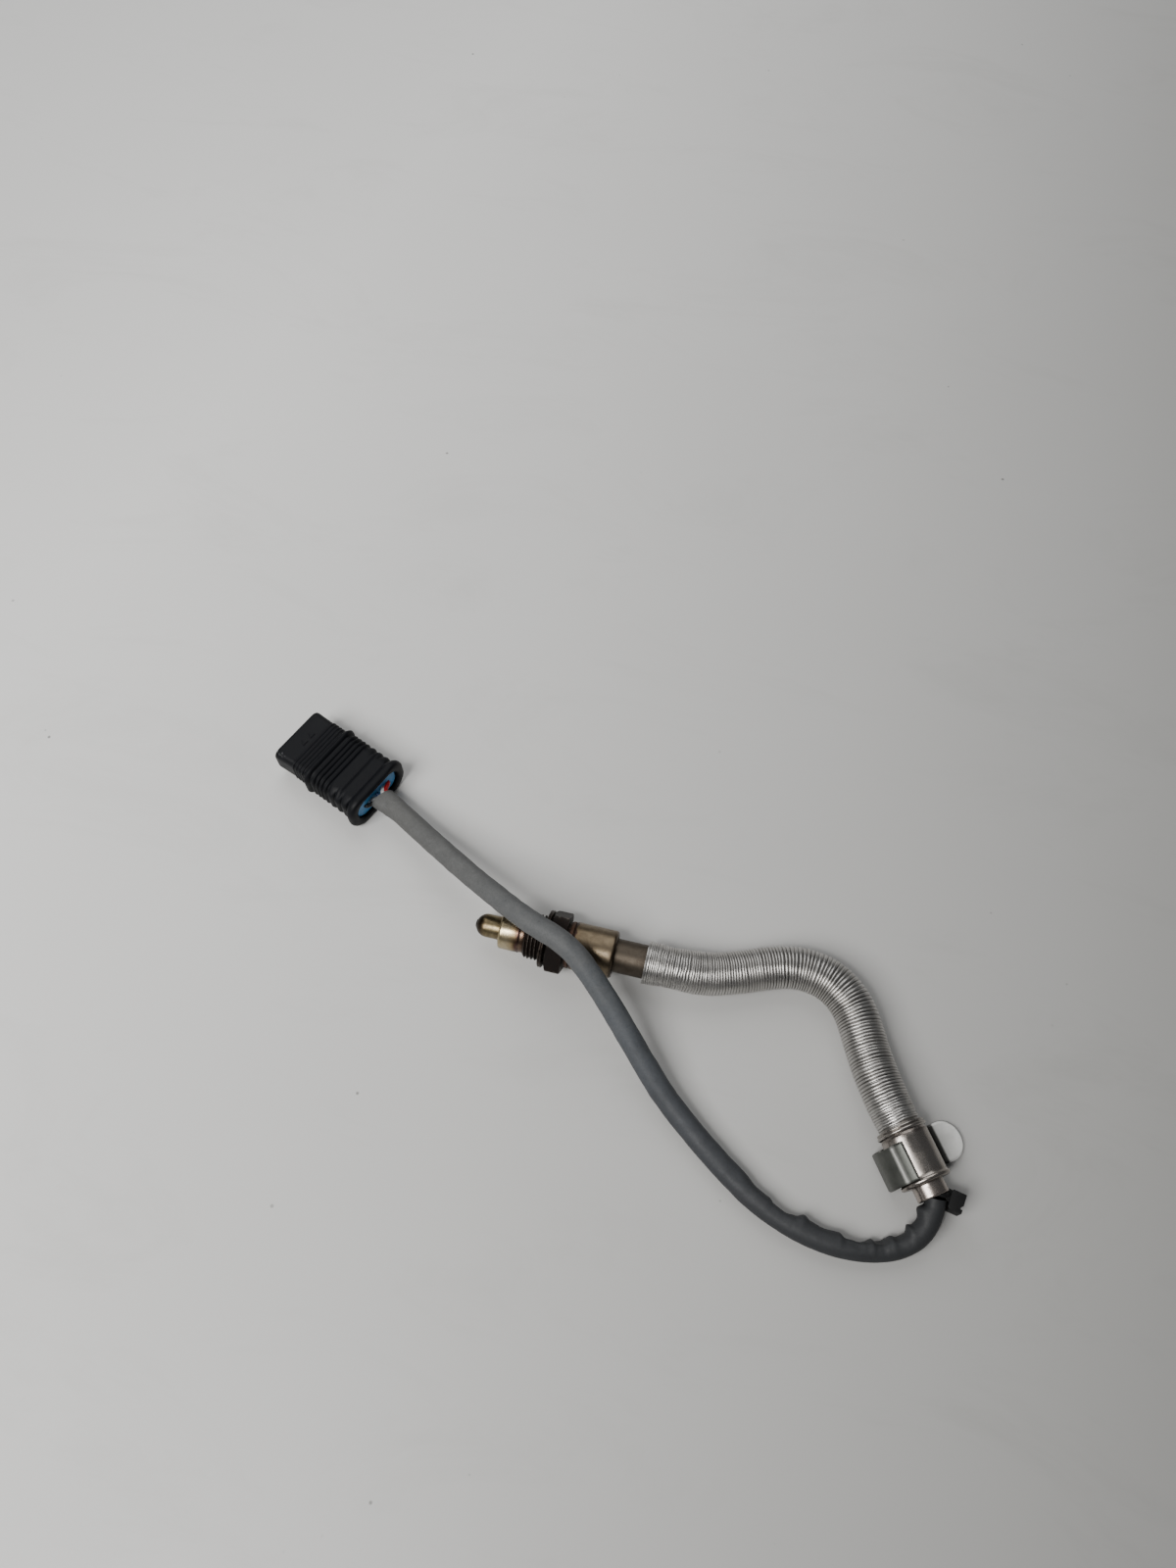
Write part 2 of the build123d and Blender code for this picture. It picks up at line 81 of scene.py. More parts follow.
def ramp(nt, fac, stops):
    n = nt.nodes.new("ShaderNodeValToRGB")
    cr = n.color_ramp
    while len(cr.elements) > 1:
        cr.elements.remove(cr.elements[-1])
    for i, (pos, col) in enumerate(stops):
        e = cr.elements[0] if i == 0 else cr.elements.new(pos)
        e.position = pos
        e.color = (*col, 1.0)
    nt.links.new(fac, n.inputs["Fac"])
    return n.outputs["Color"]


def blend_colour(nt, fac, a, b, mode="MIX"):
    n = nt.nodes.new("ShaderNodeMix")
    n.data_type = "RGBA"
    n.blend_type = mode
    for idx, v in ((0, fac), (6, a), (7, b)):
        if isinstance(v, bpy.types.NodeSocket):
            nt.links.new(v, n.inputs[idx])
        elif idx == 0:
            n.inputs[idx].default_value = v
        else:
            n.inputs[idx].default_value = (*v, 1.0)
    return n.outputs[2]


def calc(nt, op, a, b=0.0, clamp=False):
    n = nt.nodes.new("ShaderNodeMath")
    n.operation = op
    n.use_clamp = clamp
    for i, v in ((0, a), (1, b)):
        if isinstance(v, bpy.types.NodeSocket):
            nt.links.new(v, n.inputs[i])
        else:
            n.inputs[i].default_value = v
    return n.outputs[0]


def span(nt, value, a, b, c=0.0, d=1.0):
    return N(nt, "MapRange", {"Value": value, "From Min": a, "From Max": b,
                              "To Min": c, "To Max": d}).outputs["Result"]


def start(name):
    m = bpy.data.materials.new(name)
    m.use_nodes = True
    nt = m.node_tree
    nt.nodes.clear()
    out = nt.nodes.new("ShaderNodeOutputMaterial")
    p = nt.nodes.new("ShaderNodeBsdfPrincipled")
    nt.links.new(p.outputs[0], out.inputs[0])
    co = nt.nodes.new("ShaderNodeTexCoord").outputs["Object"]
    return m, nt, p, co


def grain(nt, co, scale, detail=4.0, rough=0.55, stretch=None, distortion=0.0):
    v = co
    if stretch:
        v = N(nt, "Mapping", {"Vector": co, "Scale": stretch}).outputs["Vector"]
    return N(nt, "TexNoise", {"Vector": v, "Scale": scale, "Detail": detail,
                              "Roughness": rough, "Distortion": distortion}).outputs["Fac"]


def bumps(nt, p, layers):
    """layers: (height socket, strength, depth in mm), each on top of the one before."""
    last = None
    for height, strength, depth in layers:
        ins = {"Height": height, "Strength": strength, "Distance": depth * MM}
        if last is not None:
            ins["Normal"] = last
        last = N(nt, "Bump", ins).outputs["Normal"]
    nt.links.new(last, p.inputs["Normal"])


def link(nt, socket, p, name):
    nt.links.new(socket, p.inputs[name])


def turned_metal(name, x_from, x_to, stops, rough=(0.26, 0.46), metallic=1.0, stain=0.35,
                 stain_col=(0.05, 0.035, 0.025), axis="X", lines=0.5, stain_scale=260.0):
    """A drawn or turned metal part: tone along the axis, stains, fine lathe lines."""
    m, nt, p, co = start(name)
    along = N(nt, "SeparateXYZ", {"Vector": co}).outputs[axis]
    wob = grain(nt, co, 320.0, 3.0)
    t = span(nt, along, x_from * MM, x_to * MM)
    t = calc(nt, "ADD", t, span(nt, wob, 0.3, 0.7, -0.035, 0.035))
    base = ramp(nt, t, stops)
    blot = grain(nt, co, stain_scale, 6.0, 0.62, distortion=0.6)
    base = blend_colour(nt, span(nt, blot, 0.47, 0.72, 0.0, stain), base, stain_col)
    fine = grain(nt, co, 2600.0, 3.0, 0.6)
    base = blend_colour(nt, span(nt, fine, 0.35, 0.7, 0.0, 0.22), base, (0.85, 0.80, 0.72), "MULTIPLY")
    link(nt, base, p, "Base Color")
    p.inputs["Metallic"].default_value = metallic
    rr = calc(nt, "ADD", span(nt, blot, 0.3, 0.75, rough[0], rough[1]),
              span(nt, fine, 0.3, 0.7, -0.03, 0.05))
    link(nt, rr, p, "Roughness")
    stretch = (26.0, 1.0, 1.0) if axis == "X" else (1.0, 1.0, 26.0)
    lathe_lines = grain(nt, co, 170.0, 4.0, 0.7, stretch)
    bumps(nt, p, [(lathe_lines, lines, 0.03), (fine, 0.25, 0.012), (blot, 0.3, 0.03)])
    return m


def plastic(name, col, rough=(0.42, 0.6), pale=(0.10, 0.10, 0.10), scuff=0.12, grain_mm=0.25,
            strength=0.35, spec=0.5, worn_at=None):
    """Moulded plastic: spark-eroded grain, slight mottling and pale rubbed spots."""
    m, nt, p, co = start(name)
    mott = grain(nt, co, 150.0, 5.0, 0.6)
    fine = grain(nt, co, 1.0 / (grain_mm * MM), 2.0, 0.5)
    rub = grain(nt, co, 420.0, 8.0, 0.75, (1.0, 2.2, 1.0), 1.2)
    base = blend_colour(nt, span(nt, mott, 0.35, 0.7, 0.0, 0.5), col,
                        tuple(min(1.0, c * 1.55 + 0.002) for c in col))
    base = blend_colour(nt, span(nt, rub, 0.62, 0.80, 0.0, scuff), base, pale)
    for place, radius in worn_at or ():
        d = N(nt, "VectorMath", {0: co, 1: tuple(c * MM for c in place)}, operation="DISTANCE").outputs["Value"]
        chips = grain(nt, co, 560.0, 7.0, 0.7, (1.0, 0.45, 1.0), 1.4)
        near = calc(nt, "MULTIPLY", span(nt, d, radius * 0.35 * MM, radius * MM, 1.0, 0.0),
                    span(nt, chips, 0.60, 0.645), clamp=True)
        base = blend_colour(nt, calc(nt, "MULTIPLY", near, 0.6), base, (0.36, 0.37, 0.38))
    link(nt, base, p, "Base Color")
    link(nt, calc(nt, "ADD", span(nt, mott, 0.3, 0.7, rough[0], rough[1]),
                  span(nt, fine, 0.3, 0.7, -0.04, 0.06)), p, "Roughness")
    p.inputs["Specular IOR Level"].default_value = spec
    bumps(nt, p, [(fine, strength, 0.02), (rub, 0.2, 0.02), (mott, 0.25, 0.04)])
    return m


mat_tip = turned_metal("mat_tip", -33.85, -24.5, [
    (0.0, (0.020, 0.015, 0.012)), (0.14, (0.030, 0.022, 0.015)), (0.28, (0.062, 0.046, 0.027)),
    (0.43, (0.20, 0.158, 0.090)), (0.85, (0.25, 0.206, 0.120)), (1.0, (0.20, 0.155, 0.085))],
    rough=(0.24, 0.42), stain=0.45)
mat_shield = turned_metal("mat_shield", -24.8, -13.4, [
    (0.0, (0.20, 0.155, 0.085)), (0.06, (0.42, 0.35, 0.21)), (0.42, (0.46, 0.39, 0.26)),
    (0.60, (0.34, 0.26, 0.15)), (0.72, (0.12, 0.075, 0.045)), (0.79, (0.085, 0.045, 0.045)),
    (0.84, (0.15, 0.105, 0.075)), (0.93, (0.13, 0.085, 0.062)), (1.0, (0.04, 0.028, 0.022))],
    rough=(0.20, 0.38), stain=0.35)
# painted shade: the first stops darken the front lip beside the groove to the housing
mat_sleeve = turned_metal("mat_sleeve", 5.0, 21.4, [
    (0.0, (0.025, 0.016, 0.014)), (0.045, (0.04, 0.024, 0.02)), (0.075, (0.15, 0.11, 0.068)),
    (0.20, (0.165, 0.130, 0.086)), (0.65, (0.195, 0.156, 0.106)), (0.93, (0.175, 0.140, 0.096)),
    (1.0, (0.10, 0.077, 0.054))], rough=(0.30, 0.46), stain=0.40, lines=0.7)
mat_collar = turned_metal("mat_collar", 20.5, 35.0, [
    (0.0, (0.035, 0.028, 0.022)), (0.08, (0.072, 0.060, 0.047)), (0.22, (0.092, 0.077, 0.061)),
    (0.85, (0.098, 0.083, 0.067)), (1.0, (0.055, 0.046, 0.037))], rough=(0.46, 0.60), stain=0.45, lines=0.8)


def housing_material():
    m, nt, p, co = start("mat_housing")
    x = N(nt, "SeparateXYZ", {"Vector": co}).outputs["X"]
    wob = grain(nt, co, 420.0, 4.0)
    t = calc(nt, "ADD", span(nt, x, -14.0 * MM, 8.0 * MM), span(nt, wob, 0.3, 0.7, -0.015, 0.015))
    base = ramp(nt, t, [
        (0.0, (0.030, 0.021, 0.016)), (0.26, (0.026, 0.019, 0.016)), (0.42, (0.014, 0.0115, 0.010)),
        (0.50, (0.015, 0.012, 0.011)), (0.72, (0.016, 0.012, 0.0105)), (0.765, (0.02, 0.015, 0.013)),
        (0.80, (0.075, 0.038, 0.026)), (0.845, (0.085, 0.045, 0.030)), (0.885, (0.025, 0.016, 0.013)),
        (1.0, (0.02, 0.014, 0.013))])
    rust = grain(nt, co, 520.0, 8.0, 0.7, distortion=0.8)
    base = blend_colour(nt, span(nt, rust, 0.54, 0.78, 0.0, 0.35), base, (0.060, 0.036, 0.024))
    wear_and_valley_shade = N(nt, "Attribute", attribute_name="wear_and_valley_shade").outputs["Fac"]
    worn = calc(nt, "MULTIPLY", wear_and_valley_shade, span(nt, grain(nt, co, 900.0, 5.0), 0.38, 0.62), clamp=True)
    base = blend_colour(nt, worn, base, (0.15, 0.132, 0.118))
    link(nt, base, p, "Base Color")
    p.inputs["Metallic"].default_value = 0.85
    link(nt, calc(nt, "SUBTRACT", span(nt, rust, 0.3, 0.8, 0.47, 0.70), calc(nt, "MULTIPLY", worn, 0.1)),
         p, "Roughness")
    fine = grain(nt, co, 2400.0, 3.0)
    bumps(nt, p, [(rust, 0.5, 0.06), (fine, 0.35, 0.02)])
    return m


mat_housing = housing_material()


def gasket_material():
    m, nt, p, co = start("mat_gasket")
    soot = grain(nt, co, 600.0, 6.0, 0.65)
    base = blend_colour(nt, span(nt, soot, 0.4, 0.7), (0.020, 0.016, 0.014), (0.085, 0.065, 0.052))
    link(nt, base, p, "Base Color")
    p.inputs["Metallic"].default_value = 0.9
    link(nt, span(nt, soot, 0.3, 0.7, 0.34, 0.58), p, "Roughness")
    bumps(nt, p, [(soot, 0.5, 0.05), (grain(nt, co, 2200.0, 2.0), 0.3, 0.02)])
    return m


mat_gasket = gasket_material()


def conduit_material():
    m, nt, p, co = start("mat_conduit")
    crest = N(nt, "Attribute", attribute_name="wear_and_valley_shade").outputs["Fac"]
    film = grain(nt, co, 110.0, 5.0, 0.6)
    fine = grain(nt, co, 1900.0, 4.0, 0.65)
    # painted shade: the valleys between the folds are painted dark and the crests light
    base = blend_colour(nt, span(nt, crest, 0.05, 0.75), (0.15, 0.144, 0.137), (0.53, 0.517, 0.50))
    base = blend_colour(nt, span(nt, film, 0.42, 0.72, 0.0, 0.38), base, (0.30, 0.288, 0.268))
    spots = grain(nt, co, 700.0, 6.0, 0.8)
    base = blend_colour(nt, span(nt, spots, 0.66, 0.78, 0.0, 0.6), base, (0.16, 0.15, 0.14))
    link(nt, base, p, "Base Color")
    p.inputs["Metallic"].default_value = 1.0
    link(nt, calc(nt, "ADD", span(nt, film, 0.3, 0.7, 0.28, 0.42), span(nt, fine, 0.3, 0.7, -0.05, 0.08)),
         p, "Roughness")
    bumps(nt, p, [(fine, 0.5, 0.03), (grain(nt, co, 520.0, 3.0), 0.4, 0.05)])
    return m


mat_conduit = conduit_material()


def ferrule_material():
    m, nt, p, co = start("mat_ferrule")
    # distance along the ferrule
    v = N(nt, "VectorMath", {0: co, 1: tuple(FERR_DIR)}, operation="DOT_PRODUCT").outputs["Value"]
    start_at = FERR_AT.dot(FERR_DIR) * MM
    t = span(nt, v, start_at, start_at + 26.2 * MM)
    wob = grain(nt, co, 240.0, 5.0)
    t = calc(nt, "ADD", t, span(nt, wob, 0.3, 0.7, -0.03, 0.03))
    # painted shade: the stops near 0.12 darken the groove behind the first bead up to the clip's edge
    base = ramp(nt, t, [
        (0.0, (0.30, 0.282, 0.262)), (0.09, (0.40, 0.376, 0.352)), (0.12, (0.20, 0.176, 0.160)),
        (0.16, (0.36, 0.332, 0.306)), (0.55, (0.40, 0.372, 0.344)), (0.74, (0.36, 0.328, 0.300)),
        (0.80, (0.31, 0.282, 0.258)), (0.86, (0.44, 0.392, 0.358)), (1.0, (0.40, 0.350, 0.318))])
    blot = grain(nt, co, 160.0, 6.0, 0.6, distortion=0.7)
    base = blend_colour(nt, span(nt, blot, 0.42, 0.75, 0.0, 0.35), base, (0.25, 0.21, 0.185))
    link(nt, base, p, "Base Color")
    p.inputs["Metallic"].default_value = 1.0
    fine = grain(nt, co, 2000.0, 3.0)
    link(nt, calc(nt, "ADD", span(nt, blot, 0.3, 0.7, 0.21, 0.30), span(nt, fine, 0.3, 0.7, -0.02, 0.05)),
         p, "Roughness")
    rings = N(nt, "TexNoise", {"W": calc(nt, "MULTIPLY", v, 5200.0), "Scale": 1.0, "Detail": 3.0},
              noise_dimensions="1D").outputs["Fac"]
    bumps(nt, p, [(rings, 0.4, 0.02), (fine, 0.25, 0.012), (blot, 0.4, 0.06)])
    return m


mat_ferrule = ferrule_material()


def clip_material():
    m, nt, p, co = start("mat_clip")
    cloud = grain(nt, co, 140.0, 6.0, 0.62)
    fine = grain(nt, co, 1500.0, 4.0, 0.7)
    base = blend_colour(nt, span(nt, cloud, 0.35, 0.7), (0.085, 0.089, 0.081), (0.125, 0.129, 0.118))
    base = blend_colour(nt, span(nt, fine, 0.60, 0.80, 0.0, 0.35), base, (0.055, 0.055, 0.05))
    # the foot is painted much lighter than the rest of the same sheet, a painted reflection of the light above it,
    # with a dark fold before it
    side = Vector((-FERR_DIR.y, FERR_DIR.x, 0.0))
    v = N(nt, "VectorMath", {0: co, 1: tuple(side)}, operation="DOT_PRODUCT").outputs["Value"]
    zero = FERR_AT.dot(side) * MM
    foot = span(nt, v, zero + 13.3 * MM, zero + 14.1 * MM)
    base = blend_colour(nt, foot, base, blend_colour(nt, span(nt, cloud, 0.35, 0.7), (0.60, 0.60, 0.58),
                                                     (0.76, 0.76, 0.74)))
    # painted shadow: the dark band across the fold between the barrel and the foot
    fold = calc(nt, "MULTIPLY", span(nt, v, zero + 9.5 * MM, zero + 10.4 * MM),
                span(nt, v, zero + 13.2 * MM, zero + 14.0 * MM, 1.0, 0.0), clamp=True)
    base = blend_colour(nt, fold, base, (0.045, 0.045, 0.042))
    # painted highlight: a lighter line along the upper fold
    line = calc(nt, "MULTIPLY", span(nt, v, zero - 8.9 * MM, zero - 8.1 * MM),
                span(nt, v, zero - 7.9 * MM, zero - 7.0 * MM, 1.0, 0.0), clamp=True)
    base = blend_colour(nt, calc(nt, "MULTIPLY", line, 0.9), base, (0.42, 0.42, 0.40))
    link(nt, base, p, "Base Color")
    link(nt, calc(nt, "SUBTRACT", 0.85, calc(nt, "MULTIPLY", foot, 0.5)), p, "Metallic")
    link(nt, calc(nt, "ADD", span(nt, cloud, 0.3, 0.7, 0.36, 0.5), span(nt, fine, 0.3, 0.7, -0.05, 0.07)),
         p, "Roughness")
    bumps(nt, p, [(fine, 0.4, 0.02), (cloud, 0.3, 0.05)])
    return m


mat_clip = clip_material()


def sheath_material():
    """Grey rubbery sheath: darker near the ferrule, paler and rubbed near the plug."""
    m, nt, p, co = start("mat_sheath")
    along = N(nt, "Attribute", attribute_name="along").outputs["Fac"]
    cloud = grain(nt, co, 75.0, 6.0, 0.62, distortion=0.5)
    t = calc(nt, "ADD", along, span(nt, cloud, 0.3, 0.7, -0.05, 0.05))
    base = ramp(nt, t, [
        (0.0, (0.022, 0.0232, 0.0252)), (0.10, (0.026, 0.0275, 0.030)), (0.26, (0.033, 0.035, 0.039)),
        (0.40, (0.050, 0.054, 0.061)), (0.50, (0.070, 0.077, 0.087)), (0.58, (0.082, 0.089, 0.097)),
        (0.64, (0.092, 0.096, 0.100)),
        (0.80, (0.096, 0.098, 0.098)), (1.0, (0.105, 0.105, 0.102))])
    blot = grain(nt, co, 230.0, 7.0, 0.68, distortion=0.9)
    base = blend_colour(nt, calc(nt, "MULTIPLY", span(nt, blot, 0.45, 0.66, 0.0, 0.55),
                                 span(nt, along, 0.40, 0.80)), base, (0.135, 0.137, 0.136))
    dark = grain(nt, co, 330.0, 6.0, 0.7)
    base = blend_colour(nt, span(nt, dark, 0.58, 0.74, 0.0, 0.40), base, (0.03, 0.032, 0.034))
    dust = grain(nt, co, 1150.0, 5.0, 0.75)
    base = blend_colour(nt, span(nt, dust, 0.38, 0.64, 0.0, 0.42), base, (0.60, 0.60, 0.60), "MULTIPLY")
    link(nt, base, p, "Base Color")
    fine = grain(nt, co, 2300.0, 3.0)
    link(nt, calc(nt, "ADD", span(nt, blot, 0.3, 0.7, 0.52, 0.68), span(nt, fine, 0.3, 0.7, -0.03, 0.05)),
         p, "Roughness")
    p.inputs["Specular IOR Level"].default_value = 0.34
    bumps(nt, p, [(blot, 0.5, 0.06), (fine, 0.6, 0.03)])
    return m


mat_sheath = sheath_material()
mat_boot = plastic("mat_boot", (0.0022, 0.0026, 0.0040), (0.46, 0.62), (0.014, 0.015, 0.018), 0.10, spec=0.19)
mat_shell = plastic("mat_shell", (0.0024, 0.0028, 0.0043), (0.44, 0.58), (0.09, 0.095, 0.10), 0.14, spec=0.20,
                    worn_at=[((-133.3, 51.2, 14.5), 3.3), ((-124.0, 46.0, 14.5), 2.8)])
mat_holder = plastic("mat_holder", (0.0035, 0.0036, 0.0038), (0.5, 0.66), (0.02, 0.02, 0.02), 0.15, spec=0.25)
mat_carrier = plastic("mat_carrier", (0.02, 0.021, 0.023), (0.4, 0.55))
mat_lock = plastic("mat_lock", (0.30, 0.30, 0.29), (0.4, 0.55))
mat_seal = plastic("mat_seal", (0.068, 0.285, 0.57), (0.34, 0.5), (0.12, 0.27, 0.40), 0.45, 0.3, 0.25)
mat_red = plastic("mat_red", (0.30, 0.007, 0.009), (0.3, 0.42), (0.6, 0.2, 0.2), 0.2)
mat_white = plastic("mat_white", (0.72, 0.71, 0.68), (0.3, 0.42), (0.5, 0.5, 0.48), 0.2)
mat_blue = plastic("mat_blue", (0.012, 0.040, 0.13), (0.3, 0.42), (0.1, 0.15, 0.3), 0.2)
mat_grey = plastic("mat_grey", (0.16, 0.17, 0.18), (0.3, 0.42), (0.3, 0.3, 0.3), 0.2)
mat_black = plastic("mat_black", (0.012, 0.012, 0.012), (0.3, 0.42))
mat_grommet = plastic("mat_grommet", (0.018, 0.017, 0.016), (0.5, 0.65))
mat_ceramic = plastic("mat_ceramic", (0.72, 0.70, 0.64), (0.5, 0.7), (0.4, 0.36, 0.3), 0.4)
mat_powder = plastic("mat_powder", (0.52, 0.50, 0.45), (0.7, 0.9), (0.3, 0.28, 0.25), 0.3)
mat_blade = turned_metal("mat_blade", -130, -100, [
    (0.0, (0.62, 0.57, 0.46)), (0.5, (0.66, 0.60, 0.47)), (1.0, (0.60, 0.54, 0.42))],
    rough=(0.22, 0.36), stain=0.15)
mat_contact = turned_metal("mat_contact", 8, 22, [
    (0.0, (0.52, 0.50, 0.47)), (1.0, (0.45, 0.43, 0.40))], rough=(0.25, 0.4), stain=0.2)


# ----------------------------------------------------------------- building
def build(name, verts, faces, mat, node=None, sharp=38.0, points=None, smooth=True):
    """A mesh object in the row frame from millimetre points. points: named values, one a point."""
    me = bpy.data.meshes.new(name)
    me.from_pydata([(v[0] * MM, v[1] * MM, v[2] * MM) for v in verts], [], faces)
    me.update()
    for key, values in (points or {}).items():
        at = me.attributes.new(key, "FLOAT", "POINT")
        at.data.foreach_set("value", values)
    bm = bmesh.new()
    bm.from_mesh(me)
    bmesh.ops.recalc_face_normals(bm, faces=bm.faces)
    bm.to_mesh(me)
    bm.free()
    if smooth:
        me.shade_smooth()
        me.set_sharp_from_angle(angle=radians(sharp))
    ob = bpy.data.objects.new(name, me)
    bpy.context.scene.collection.objects.link(ob)
    me.materials.append(mat)
    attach(ob, "root")
    if node:
        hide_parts(*([node] if isinstance(node, str) else node))
    return ob


def skin(rings, closed=True, cap_start=False, cap_end=False):
    """Quads between rings of the same number of points."""
    verts, faces = [], []
    n = len(rings[0])
    for r in rings:
        verts.extend(r)
    for i in range(len(rings) - (0 if closed else 1)):
        a, b = i * n, ((i + 1) % len(rings)) * n
        for j in range(n):
            k = (j + 1) % n
            faces.append((a + j, a + k, b + k, b + j))
    if cap_start:
        faces.append(tuple(range(n))[::-1])
    if cap_end:
        faces.append(tuple(range((len(rings) - 1) * n, len(rings) * n)))
    return verts, faces


def eased(profile, r=0.12, closed=True):
    """Breaks the sharp edges of a turned section by a small radius."""
    out = []
    n = len(profile)
    for i, p in enumerate(profile):
        if not closed and i in (0, n - 1):
            out.append(p)
            continue
        a, b = Vector(profile[i - 1]), Vector(profile[(i + 1) % n])
        c = Vector(p)
        u, v = a - c, b - c
        if u.length < 1e-6 or v.length < 1e-6 or u.angle(v) > radians(155):
            out.append(p)
            continue
        k = min(r, 0.4 * u.length, 0.4 * v.length)
        s, e = c + u.normalized() * k, c + v.normalized() * k
        for t in (0.0, 0.33, 0.67, 1.0):
            q = s * (1 - t) ** 2 + c * 2 * t * (1 - t) + e * t * t
            out.append((q.x, q.y))
    return out


def on_sensor(s, r, a, drop=0.0):
    return (X0 + s, r * cos(a), AXIS_Z + drop + r * sin(a))


def lathe_sensor(name, profile, mat, node, seg=128, ease=0.12, lump=0.0, sharp=38.0):
    pts = eased(profile, ease)
    rings = []
    for s, r in pts:
        ring = []
        for j in range(seg):
            a = 2 * pi * j / seg
            rr = r
            if lump:
                rr += lump * noise.noise(Vector((s * 0.22, cos(a) * 1.7, sin(a) * 1.7)))
            ring.append(on_sensor(s, rr, a))
        rings.append(ring)
    v, f = skin(rings)
    return build(name, v, f, mat, node, sharp)


# ------------------------------------------------------------------- sensor
dome = [(4.55 - 4.55 * sin(radians(t)), 4.6 * cos(radians(t))) for t in range(0, 66, 5)][::-1]
inner_dome = [(4.6 - 3.95 * sin(radians(t)), 4.18 * cos(radians(t))) for t in range(0, 66, 8)]
fill = [(4.6 + 0.9 * k, 4.6) for k in range(1, 14)]
tip_profile = ([(0.62, 0.72), (0.1, 0.74), (0.0, 0.9), (0.0, 1.35), (0.12, 1.62), (0.42, 1.82)] + dome + fill
               + [(17.6, 4.6), (17.6, 6.6), (18.1, 6.6), (18.1, 4.2)]
               + [(18.1 - 1.2 * k, 4.2) for k in range(1, 11)] + inner_dome + [(1.1, 1.2)])
lathe_sensor("tip_tube_skin", tip_profile, mat_tip, "tip_tube", seg=112, ease=0.1, lump=0.035)

shield_profile = ([(10.2, 4.66), (10.2, 6.4), (10.24, 6.85), (10.4, 7.2), (10.65, 7.44), (11.0, 7.57), (11.4, 7.6)]
                  + [(11.4 + 0.7 * k, 7.6) for k in range(1, 10)]
                  + [(18.25, 7.6), (18.45, 7.52), (18.55, 7.36), (19.3, 7.35), (20.3, 7.35), (20.3, 6.85),
                     (18.0, 6.85), (18.0, 7.1), (14.0, 7.1), (11.4, 7.1), (10.7, 6.5), (10.7, 4.66)])
lathe_sensor("shield_skin", shield_profile, mat_shield, "outer_tube", seg=128, ease=0.06, lump=0.04)


def housing():
    seg = 192
    apothem, front, back = 11.0, 29.8, 36.3

    def hexagon(a):
        k = (a + pi) % (pi / 3)
        return apothem / cos(k - pi / 6)

    def corner(a):
        k = (a % (pi / 3)) / (pi / 3)
        d = min(k, 1 - k) * 60.0
        return exp(-(d / 1.6) ** 2)

    pitch = 1.5

    def thread(s, a):
        env_lo, env_hi = 8.02, 9.0
        ph = (s / pitch - a / (2 * pi)) % 1.0
        h = 1.28 * (1 - abs(2 * ph - 1)) - 0.10
        h = max(0.0, min(1.0, h))
        lead = max(0.0, min(1.0, (s - 20.5) / 1.0))
        tail = max(0.0, min(1.0, (27.15 - s) / 0.8))
        top = env_lo + (env_hi - env_lo) * min(lead, tail)
        worn = 0.045 * noise.noise(Vector((s * 1.3, cos(a) * 9, sin(a) * 9)))
        return min(top, env_lo + (env_hi - env_lo) * h + worn * h), h * min(lead, tail)

    rings, wear_and_valley_shade = [], []

    def add(s, radius, worn=0.0):
        ring = []
        for j in range(seg):
            a = 2 * pi * j / seg
            r = radius(a) if callable(radius) else radius
            w = worn(a) if callable(worn) else worn
            ring.append(on_sensor(s, r, a))
            wear_and_valley_shade.append(w)
        rings.append(ring)

    add(20.32, 5.45)
    add(20.32, 7.7)
    add(20.42, 7.92)
    s = 20.5
    while s < 27.2:
        ring = []
        for j in range(seg):
            a = 2 * pi * j / seg
            r, h = thread(s, a)
            ring.append(on_sensor(s, r, a))
            wear_and_valley_shade.append(max(0.0, (h - 0.72) / 0.28) * 0.55)
        rings.append(ring)
        s += 0.075
    add(27.3, 8.05)
    add(29.55, 8.05)
    add(29.75, 8.15)
    add(front, 8.4)
    # the chamfer cone cuts the corners of the hexagon in curves
    steps = 10
    for k in range(steps + 1):
        t = k / steps
        sk = front + 0.8 * t
        cone = 11.15 + 1.6 * t
        add(sk, lambda a: min(hexagon(a) - 0.05 * corner(a), cone), lambda a: 0.9 * corner(a) + (0.35 if k < 2 else 0.0))
    for k in range(1, 8):
        add(front + 0.8 + (back - front - 1.2) * k / 8, lambda a: hexagon(a) - 0.06 * corner(a),
            lambda a: 0.9 * corner(a))
    for k in range(steps, -1, -1):
        t = k / steps
        sk = back - 0.4 * t
        cone = 11.95 + 0.8 * t
        add(sk, lambda a: min(hexagon(a) - 0.05 * corner(a), cone), lambda a: 0.9 * corner(a) + (0.35 if k < 2 else 0.0))
    for s, r in eased([(back, 8.75), (37.35, 8.7), (37.35, 9.12), (38.65, 9.12), (38.65, 8.62), (41.5, 8.62)],
                      0.16, closed=False):
        add(s, r, 0.12)
    add(41.5, 5.45)
    verts, faces = skin(rings)
    return build("housing_skin", verts, faces, mat_housing, "sensor_housing", 27.0,
                 {"wear_and_valley_shade": wear_and_valley_shade})


housing()


